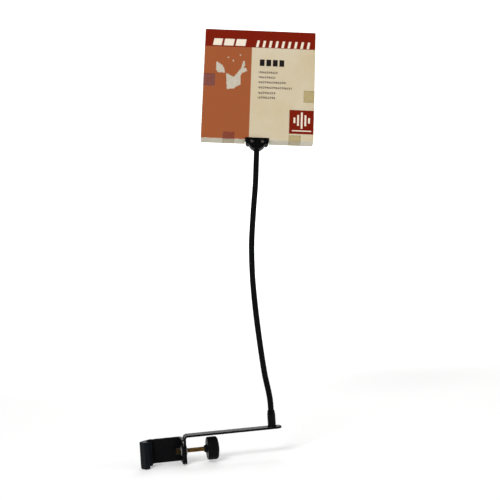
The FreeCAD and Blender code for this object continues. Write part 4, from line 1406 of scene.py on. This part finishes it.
# ------------------------------------------------------------------------------------ filter head
@dataclass
class FilterHead:
    """The hoops, the two layers of net, and the bracket that holds them on the neck."""

    head: Head
    height: float = 76.5 * MM
    net_radius: float = 53.8 * MM
    net_thick: float = 0.3 * MM
    spacer: float = 2.6 * MM
    net_gap: float = 0.4 * MM
    half_wide: float = 12.8 * MM
    top: float = 13.1 * MM
    flange_low: float = 6.0 * MM
    lobe: float = 10.5 * MM
    deep: float = 15.4 * MM
    rim: float = 0.9 * MM
    draft: float = 0.09
    rivet_ball: float = 2.6 * MM
    rivet_sunk: float = 1.5 * MM
    rivet_half: float = 5.95 * MM
    rivet_level: float = 8.8 * MM

    def outline(self) -> Array:
        """The bracket's outline, anticlockwise: the half-round lobe and the flange above it."""
        drop = self.lobe - self.flange_low
        reach = math.sqrt(self.lobe ** 2 - drop ** 2)
        angle = math.asin(drop / self.lobe)
        swing = np.linspace(math.pi + angle, 2 * math.pi - angle, 41)
        arc = np.stack([np.cos(swing), np.sin(swing)], 1) * self.lobe + (0.0, self.lobe)
        corners = [arc[-2], (reach, self.flange_low), (self.half_wide, self.flange_low),
                   (self.half_wide, self.top), (-self.half_wide, self.top),
                   (-self.half_wide, self.flange_low), (-reach, self.flange_low), arc[1]]
        radii = np.array((0.25, 1.0, 1.0, 1.0, 1.0, 0.25)) * MM
        top = rounded(corners, radii, steps=7)
        return np.vstack([top[1:-1], arc[1:-1]])

    def build_bracket(self, bench: Bench) -> None:
        """Two half shells: the outline at rising depths, with its rim rolled over at the face.

        The rear shell has the mould's draft: it shrinks towards its top edge, by a share of its
        size that grows evenly from the seam to its back.
        """
        outline = self.outline()
        low, high = self.head.mid - self.deep / 2, self.head.mid + self.deep / 2
        swing = np.linspace(0, math.pi / 2, 8)
        seam = 0.12 * MM
        insets = np.concatenate([self.rim * (1 - np.sin(swing)), [0.0, seam]])
        rise = np.concatenate([self.rim * (1 - np.cos(swing)),
                               [self.deep / 2 - seam, self.deep / 2]])
        rim_wear = np.concatenate([np.sin(swing * 2), [0.0, 0.0]])
        plastic = MouldedPlastic("bracket_plastic", "bracket_plastic", paint(0.035, 0.035, 0.04),
                                 0.20, 900.0, 0.00003, 0.015)
        for name, depths, node, draft in (
                ("bracket_shell_front", low + rise, "bracket_front", 0.0),
                ("bracket_shell_rear", high - rise, "bracket_rear", self.draft)):
            rings = outline_rings(outline, depths, insets, Matrix())
            smaller = 1 - draft * (1 - rise / rise[-1])[:, None]
            rings[..., 0] *= smaller
            rings[..., 2] = self.top + (rings[..., 2] - self.top) * smaller
            rings = carried(rings, self.head.matrix())
            shell = mesh_piece(name, [Patch(rings, rim_wear[:, None])])
            crisp(shell, 40)
            bench.fit(shell, plastic, "filter_head", [node])

    def build_rivets(self, bench: Bench) -> None:
        """Four low domes, one on each end of two rivets, each a cap of a ball."""
        edge = math.acos(self.rivet_sunk / self.rivet_ball)
        swing = np.linspace(edge, 0.01, 12)
        dome = np.stack([self.rivet_ball * np.cos(swing) - self.rivet_sunk,
                         self.rivet_ball * np.sin(swing)], 1)
        profile = np.vstack([[(-0.4 * MM, dome[0, 1] * 0.96)], dome])
        turn = self.head.matrix().to_3x3()
        patches = []
        for side in (-1, 1):
            for way in (-1, 1):
                depth = self.head.mid + way * self.deep / 2
                middle = self.head.point(side * self.rivet_half, depth, self.rivet_level)
                patches.append(turned(profile, middle, turn @ Vector((0, way, 0)), around=32))
        rivets = mesh_piece("rivet_heads", patches)
        bright = BareMetal("bright_rivet", "bright_rivet", paint(0.28, 0.27, 0.25),
                           paint(0.08, 0.08, 0.08), 0.07)
        bench.fit(rivets, bright, "filter_head", ["bracket_rivets"])

    def build_net(self, bench: Bench, name: str, depth: float, node: str) -> None:
        """One layer of net, drawn tight: rings of points with a faint pull towards six screws.

        Args:
            bench: the bench.
            name: the piece's name.
            depth: its middle depth in the head's frame.
            node: the node that it stands for.
        """
        radii = np.linspace(0.4 * MM, self.net_radius, 56)
        angle = np.linspace(0, 2 * math.pi, 121)[:-1]
        share = radii / self.net_radius
        ripple = 0.06 * MM * (share ** 6)[:, None] * np.cos(6 * angle)[None, :]
        x = radii[:, None] * np.cos(angle)
        z = radii[:, None] * np.sin(angle) + self.height
        points = carried(np.stack([x, depth + ripple, z], -1), self.head.matrix())
        points = np.concatenate([points, points[:, :1]], 1)
        net = mesh_piece(name, [Patch(points, None, open_sheet=True)])
        weld = net.modifiers.new("weld", "WELD")
        weld.merge_threshold = 0.001 * MM
        baked(net)
        close_middle(net, self.head.point(0, depth, self.height))
        wall = net.modifiers.new("yarn", "SOLIDIFY")
        wall.thickness, wall.offset = self.net_thick, 0.0
        bench.fit(net, KnitNylon(head=self.head), "filter_head", [node])
        cut = 2 * self.net_radius
        math.pi * self.net_radius ** 2

    def build(self, bench: Bench) -> None:
        """Build the net layers and the bracket, and finish the hoops and their screws."""
        hoop = MouldedPlastic("hoop_plastic", "hoop_plastic", paint(0.08, 0.08, 0.085), 0.38)
        for node in ("hoop_front", "hoop_rear", "hoop_spacer"):
            bench.keep(node, hoop)
        bench.keep("hoop_screws", BareMetal())
        reach = self.spacer / 2 + self.net_gap / 2
        self.build_net(bench, "net_front", self.head.mid - reach, "mesh_front")
        self.build_net(bench, "net_rear", self.head.mid + reach, "mesh_rear")
        self.build_bracket(bench)
        self.build_rivets(bench)


def close_middle(piece: bpy.types.Object, middle: Vector) -> None:
    """Close the small round opening left at a sheet's middle with one face."""
    work = bmesh.new()
    work.from_mesh(piece.data)
    rim = [edge for edge in work.edges if edge.is_boundary
           and (edge.verts[0].co - middle).length < 1.0 * MM]
    made = bmesh.ops.contextual_create(work, geom=rim)
    for face in made["faces"]:
        face.smooth = True
    bmesh.ops.recalc_face_normals(work, faces=work.faces)
    work.to_mesh(piece.data)
    work.free()


# --------------------------------------------------------------------------------------- card box
@dataclass(frozen=True)
class Tape:
    """A strip of tape from the printed face over one edge and along the wall, in millimetres.

    Outward is the way to the edge, in (x, z); start and width run along the edge, reach is how far
    the strip comes onto the face, and cover, tint and edge are how it looks.
    """

    name: str
    node: str
    outward: tuple[int, int]
    start: float
    width: float
    reach: float
    tint: tuple
    edge: tuple
    cover: float


@dataclass
class CardBox:
    """The printed lid, the plain tray behind it and the tapes that hold them together."""

    head: Head
    half_wide: float = 63.0 * MM
    low: float = 11.0 * MM
    tall: float = 131.0 * MM
    deep: float = 16.5 * MM
    tray_deep: float = 14.0 * MM
    card: float = 0.9 * MM
    play: float = 0.4 * MM
    fold: float = 0.8 * MM
    notch_half: float = 13.5 * MM
    notch_top: float = 13.6 * MM
    bow: float = 0.55 * MM
    per_side: int = 34
    tape_gap: float = 0.06 * MM
    tape_thick: float = 0.10 * MM
    end_gap: float = 0.3 * MM
    border: float = 0.8 * MM

    def bulge(self, x: Array, z: Array) -> Array:
        """How far the panel stands out: a low dome that dies at the edges, with two soft waves."""
        u, v = x / self.half_wide, (z - self.low - self.tall / 2) / (self.tall / 2)
        dome = np.clip(1 - u ** 2, 0, 1) * np.clip(1 - v ** 2, 0, 1)
        return self.bow * dome * (1 + 0.25 * np.sin(3.1 * u + 1.0) + 0.2 * np.sin(4.3 * v))

    def square_rings(self, insets: Array, depths: Array, corner: float) -> Array:
        """Rounded squares at several insets and depths, in the head's frame.

        Sides run evenly from -1 to 1 times the half size less the corner's radius, and each corner
        is a quarter circle of that radius.
        """
        side = np.linspace(-1, 1, self.per_side)
        swing = np.linspace(0, math.pi / 2, 4)
        bases, ways = [], []
        for quarter in range(4):
            turn = quarter * math.pi / 2
            c, s = round(math.cos(turn)), round(math.sin(turn))
            straight = np.stack([side, -np.ones_like(side)], 1)
            base = np.vstack([straight, np.tile((1.0, -1.0), (2, 1))])
            arc = np.vstack([np.tile((0.0, -1.0), (self.per_side, 1)),
                             np.stack([np.sin(swing), -np.cos(swing)], 1)[1:-1]])
            spin = np.array([(c, -s), (s, c)], float)
            bases.append(base @ spin.T)
            ways.append(arc @ spin.T)
        base, way = np.vstack(bases), np.vstack(ways)
        half = np.array((self.half_wide, self.tall / 2))[None, None] - insets[:, None, None]
        radius = np.clip(corner - insets, 0.08 * MM, None)[:, None, None]
        flat = base[None] * (half - radius) + way[None] * radius
        z = flat[..., 1] + self.low + self.tall / 2
        return np.stack([flat[..., 0], np.broadcast_to(depths[:, None], z.shape), z], -1)

    def shell(self, inset: float, deep: float) -> Patch:
        """One half of the box with its panel at depth 0 and its walls reaching to a depth.

        The rings go from the panel's middle out over the fold, along the wall, round its cut edge
        and back along the inside to the panel's middle.
        """
        swing = np.linspace(0, math.pi / 2, 6)
        card, fold = self.card, self.fold
        widest = self.half_wide - inset - 0.4 * MM
        panel = widest * np.array((1.0, 0.9, 0.75, 0.6, 0.45, 0.3, 0.2, 0.12, 0.06, 0.03))
        nick = 0.25 * MM
        runs = [
            (panel, 0 * panel),
            (fold * (1 - np.sin(swing)), fold * (1 - np.cos(swing))),
            (0 * swing, np.linspace(fold + 1 * MM, deep - nick - 1 * MM, 6)),
            (np.array((0.0, nick, card - nick, card)),
             np.array((deep - nick, deep, deep, deep - nick))),
            (0 * swing + card, np.linspace(deep - nick - 1 * MM, card + 1 * MM, 6)),
            (card + nick * (1 - np.sin(swing[::-1])), card + nick * (1 - np.cos(swing[::-1]))),
            ((panel + card)[::-1][:-1], 0 * panel[:-1] + card),
            (np.array((widest,)), np.array((card,))),
        ]
        insets = np.concatenate([run[0] for run in runs]) + inset
        depths = np.concatenate([run[1] for run in runs])
        rings = self.square_rings(insets, depths, self.fold * 0.9)
        stiff = np.clip(1 - depths / (2 * card), 0.5, 1)
        bulge = self.bulge(rings[..., 0], rings[..., 2]) * stiff[:, None]
        rings[..., 1] -= bulge * (depths <= card + nick)[:, None]
        return Patch(rings)

    def notch(self) -> Patch:
        """The cutter for the bracket's notch: a block through both halves, open below."""
        drop = 4 * MM
        corners = [(-self.notch_half, self.low - drop), (self.notch_half, self.low - drop),
                   (self.notch_half, self.notch_top), (-self.notch_half, self.notch_top)]
        outline = rounded(corners, 0.5 * MM, closed=True, steps=4)
        depths = np.array((-3 * MM, self.deep + 3 * MM))
        return Patch(outline_rings(outline, depths, np.zeros(2), self.head.matrix()))

    def build_lid(self, bench: Bench) -> None:
        """The lid: a shell with its panel in front, notched for the bracket."""
        patch = self.shell(0.0, self.deep)
        patch.rings = carried(patch.rings, self.head.matrix())
        lid = mesh_piece("box_lid_card", [patch])
        carve(lid, [self.notch()])
        crisp(lid, 50)
        bench.fit(lid, PrintedCard(head=self.head), "box_lid", ["carton_lid"])

    def build_tray(self, bench: Bench) -> None:
        """The tray: a smaller shell with its panel at the back, notched too."""
        patch = self.shell(self.card + self.play, self.tray_deep)
        rings = patch.rings.copy()
        rings[..., 1] = self.deep - rings[..., 1]
        rings[..., 1] = np.minimum(rings[..., 1], self.deep + self.bow)
        patch.rings = carried(rings, self.head.matrix())
        tray = mesh_piece("box_tray_card", [patch])
        carve(tray, [self.notch()])
        crisp(tray, 50)
        bench.fit(tray, GreyCard(), "box_tray", ["carton_tray"])

    def build_tape(self, bench: Bench, tape: Tape) -> None:
        """A strip that lies on the face, turns over the edge and runs along the wall.

        Its line in (outward distance, depth) has one rounded corner. Its ends are ragged: they
        move along the line by a sum of two waves across the strip.
        """
        along_x, along_z = tape.outward
        edge = self.half_wide if along_x else -self.low
        gap = self.tape_gap
        corners = [(edge - tape.reach * MM, -gap), (edge + gap, -gap),
                   (edge + gap, self.deep - self.end_gap)]
        line = rounded(corners, self.fold + gap, steps=8)
        total = lengths(line)[-1]
        across = np.linspace(0, 1, 25)
        share = np.linspace(0, 1, 70)
        rag = 0.28 * MM * (np.sin(across * 21.0 + tape.start) + 0.7 * np.sin(across * 47.0))
        run = total - 2 * self.end_gap - rag[None, :]
        where = np.clip(share[:, None] * run + rag[None, :] + self.end_gap, 0, total)
        flat = at(line, where.reshape(-1)).reshape(where.shape + (2,))
        side = (tape.start + across * tape.width)[None, :] * MM + 0 * where
        side = side + 0.12 * MM * np.sin(share * 26.0)[:, None]
        outward, deep = flat[..., 0], flat[..., 1]
        if along_x:
            x, z = outward * along_x, side + self.low
        else:
            x, z = side, outward * along_z
        on_face = fading(deep, self.fold)
        deep = deep - self.bulge(x, z) * on_face
        aside = np.minimum(across, 1 - across) * tape.width * MM
        border = np.maximum(fading(aside, self.border)[None, :],
                            fading(share * total, self.border)[:, None])
        points = carried(np.stack([x, deep, z], -1), self.head.matrix())
        strip = mesh_piece(tape.name, [Patch(points, border, open_sheet=True)], "border")
        centre = self.head.point(0, self.deep, self.low + self.tall / 2)
        face_out(strip, centre)
        wall = strip.modifiers.new("film", "SOLIDIFY")
        wall.thickness, wall.offset = self.tape_thick, -1.0
        finish = OldTape(name=f"tape_{tape.name}", tint=tape.tint, edge=tape.edge,
                         cover=tape.cover, head=self.head)
        bench.fit(strip, finish, "box_lid", [tape.node])

    def build(self, bench: Bench) -> None:
        """Build both halves and the four tapes."""
        self.build_lid(bench)
        self.build_tray(bench)
        yellow, amber = paint(0.71, 0.64, 0.43), paint(0.42, 0.36, 0.23)
        tapes = (
            Tape("film_left", "tape_left", (-1, 0), 62.0, 14.5, 13.5, paint(0.46, 0.21, 0.19),
                 paint(0.36, 0.18, 0.20), 0.50),
            Tape("film_right", "tape_right", (1, 0), 46.0, 14.0, 12.5, yellow, amber, 0.55),
            Tape("film_bottom_left", "tape_bottom_left", (0, -1), -38.5, 13.0, 8.5,
                 paint(0.50, 0.17, 0.08), paint(0.42, 0.20, 0.12), 0.48),
            Tape("film_bottom_right", "tape_bottom_right", (0, -1), 35.0, 13.5, 7.0, yellow, amber,
                 0.55),
        )
        for tape in tapes:
            self.build_tape(bench, tape)


def face_out(piece: bpy.types.Object, centre: Vector) -> None:
    """Turn an open strip's faces so that they look away from a point."""
    mesh = piece.data
    normals = np.zeros(len(mesh.polygons) * 3, np.float32)
    middles = np.zeros(len(mesh.polygons) * 3, np.float32)
    mesh.polygons.foreach_get("normal", normals)
    mesh.polygons.foreach_get("center", middles)
    away = middles.reshape(-1, 3) - np.array(centre)
    if (normals.reshape(-1, 3) * away).sum() < 0:
        mesh.flip_normals()


# ----------------------------------------------------------------------------------------- studio
@dataclass
class Studio:
    """A pale floor, soft light and the camera."""

    lens: float = 72.0
    eye: tuple[float, float, float] = (-0.090, -1.060, 0.2085)
    yaw: float = -11.0
    roll: float = -3.72
    floor_half: float = 12.0
    sky: float = 0.34
    wall_away: float = 6.0
    wall_half: float = 3.0
    wall_aside: float = 0.19
    wall_glow: float = 0.92
    marks: int = 9

    def build_floor(self, level: float) -> None:
        """A broad floor just under the lowest point, and a lit paper wall behind the object."""
        side = np.linspace(-self.floor_half, self.floor_half, self.marks)
        x, y = np.meshgrid(side, side)
        self.sheet("floor", np.stack([x, y, np.full_like(x, level)], -1), PaleFloor())
        side = np.linspace(-self.wall_half, self.wall_half, self.marks)
        x, z = np.meshgrid(side, side)
        wall = [x + self.wall_away * self.wall_aside, np.full_like(x, self.wall_away), z]
        self.sheet("paper_wall", np.stack(wall, -1),
                   PaleFloor(name="paper_wall", glow=self.wall_glow))

    def sheet(self, name: str, rings: Array, finish: Finish) -> None:
        """A flat sheet of the set."""
        piece = mesh_piece(name, [Patch(rings, open_sheet=True)])
        piece.data.materials.append(finish.material())
        piece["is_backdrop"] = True

    def lamp(self, name: str, place: Vector, target: Vector, size: float, power: float) -> None:
        """A square soft light that looks at a point."""
        data = bpy.data.lights.new(name, "AREA")
        data.shape, data.size, data.energy = "SQUARE", size, power
        lamp = bpy.data.objects.new(name, data)
        bpy.context.scene.collection.objects.link(lamp)
        turn = (target - place).to_track_quat("-Z", "Y").to_matrix().to_4x4()
        lamp.matrix_world = Matrix.Translation(place) @ turn

    def build(self, low: Vector, high: Vector) -> None:
        """Set the floor, the lights, the even sky and the camera round the object's box."""
        self.build_floor(low.z - 0.2 * MM)
        middle = (low + high) / 2
        self.lamp("key", middle + Vector((-0.9, -1.3, 1.1)), middle, 0.7, 20)
        self.lamp("fill", middle + Vector((1.3, -0.9, 0.3)), middle, 0.6, 6)
        self.lamp("back", middle + Vector((0.3, 1.4, 0.9)), middle, 0.9, 9)
        scene = bpy.context.scene
        world = bpy.data.worlds.new("studio")
        world.use_nodes = True
        world.node_tree.nodes["Background"].inputs[0].default_value = (1, 1, 1, 1)
        world.node_tree.nodes["Background"].inputs[1].default_value = self.sky
        scene.world = world
        scene.view_settings.view_transform = "Standard"
        data = bpy.data.cameras.new("camera")
        data.lens, data.sensor_width = self.lens, 36.0
        data.clip_start, data.clip_end = 0.01, 100.0
        camera = bpy.data.objects.new("camera", data)
        scene.collection.objects.link(camera)
        camera.matrix_world = (Matrix.Translation(self.eye)
                               @ Matrix.Rotation(math.radians(self.yaw), 4, "Z")
                               @ Matrix.Rotation(math.radians(90), 4, "X")
                               @ Matrix.Rotation(math.radians(self.roll), 4, "Z"))
        scene.camera = camera


def main() -> None:
    """Build the object and its studio."""
    logging.basicConfig(level=logging.INFO, format="%(name)s %(message)s")
    bench = Bench(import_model())
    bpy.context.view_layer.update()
    box = CardBox(None)
    head = Head.found(box.deep / 2, box.low + box.tall / 2)
    low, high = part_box("neck_ferrule")
    StandClamp().build(bench, (low + high) / 2)
    ThumbScrew().build(bench)
    Gooseneck(head).build(bench)
    FilterHead(head).build(bench)
    box.head = head
    box.build(bench)
    bottom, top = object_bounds()
    Studio().build(bottom, top)
    log.info("%d pieces", len(bench.made))


if __name__ == "__main__":
    main()
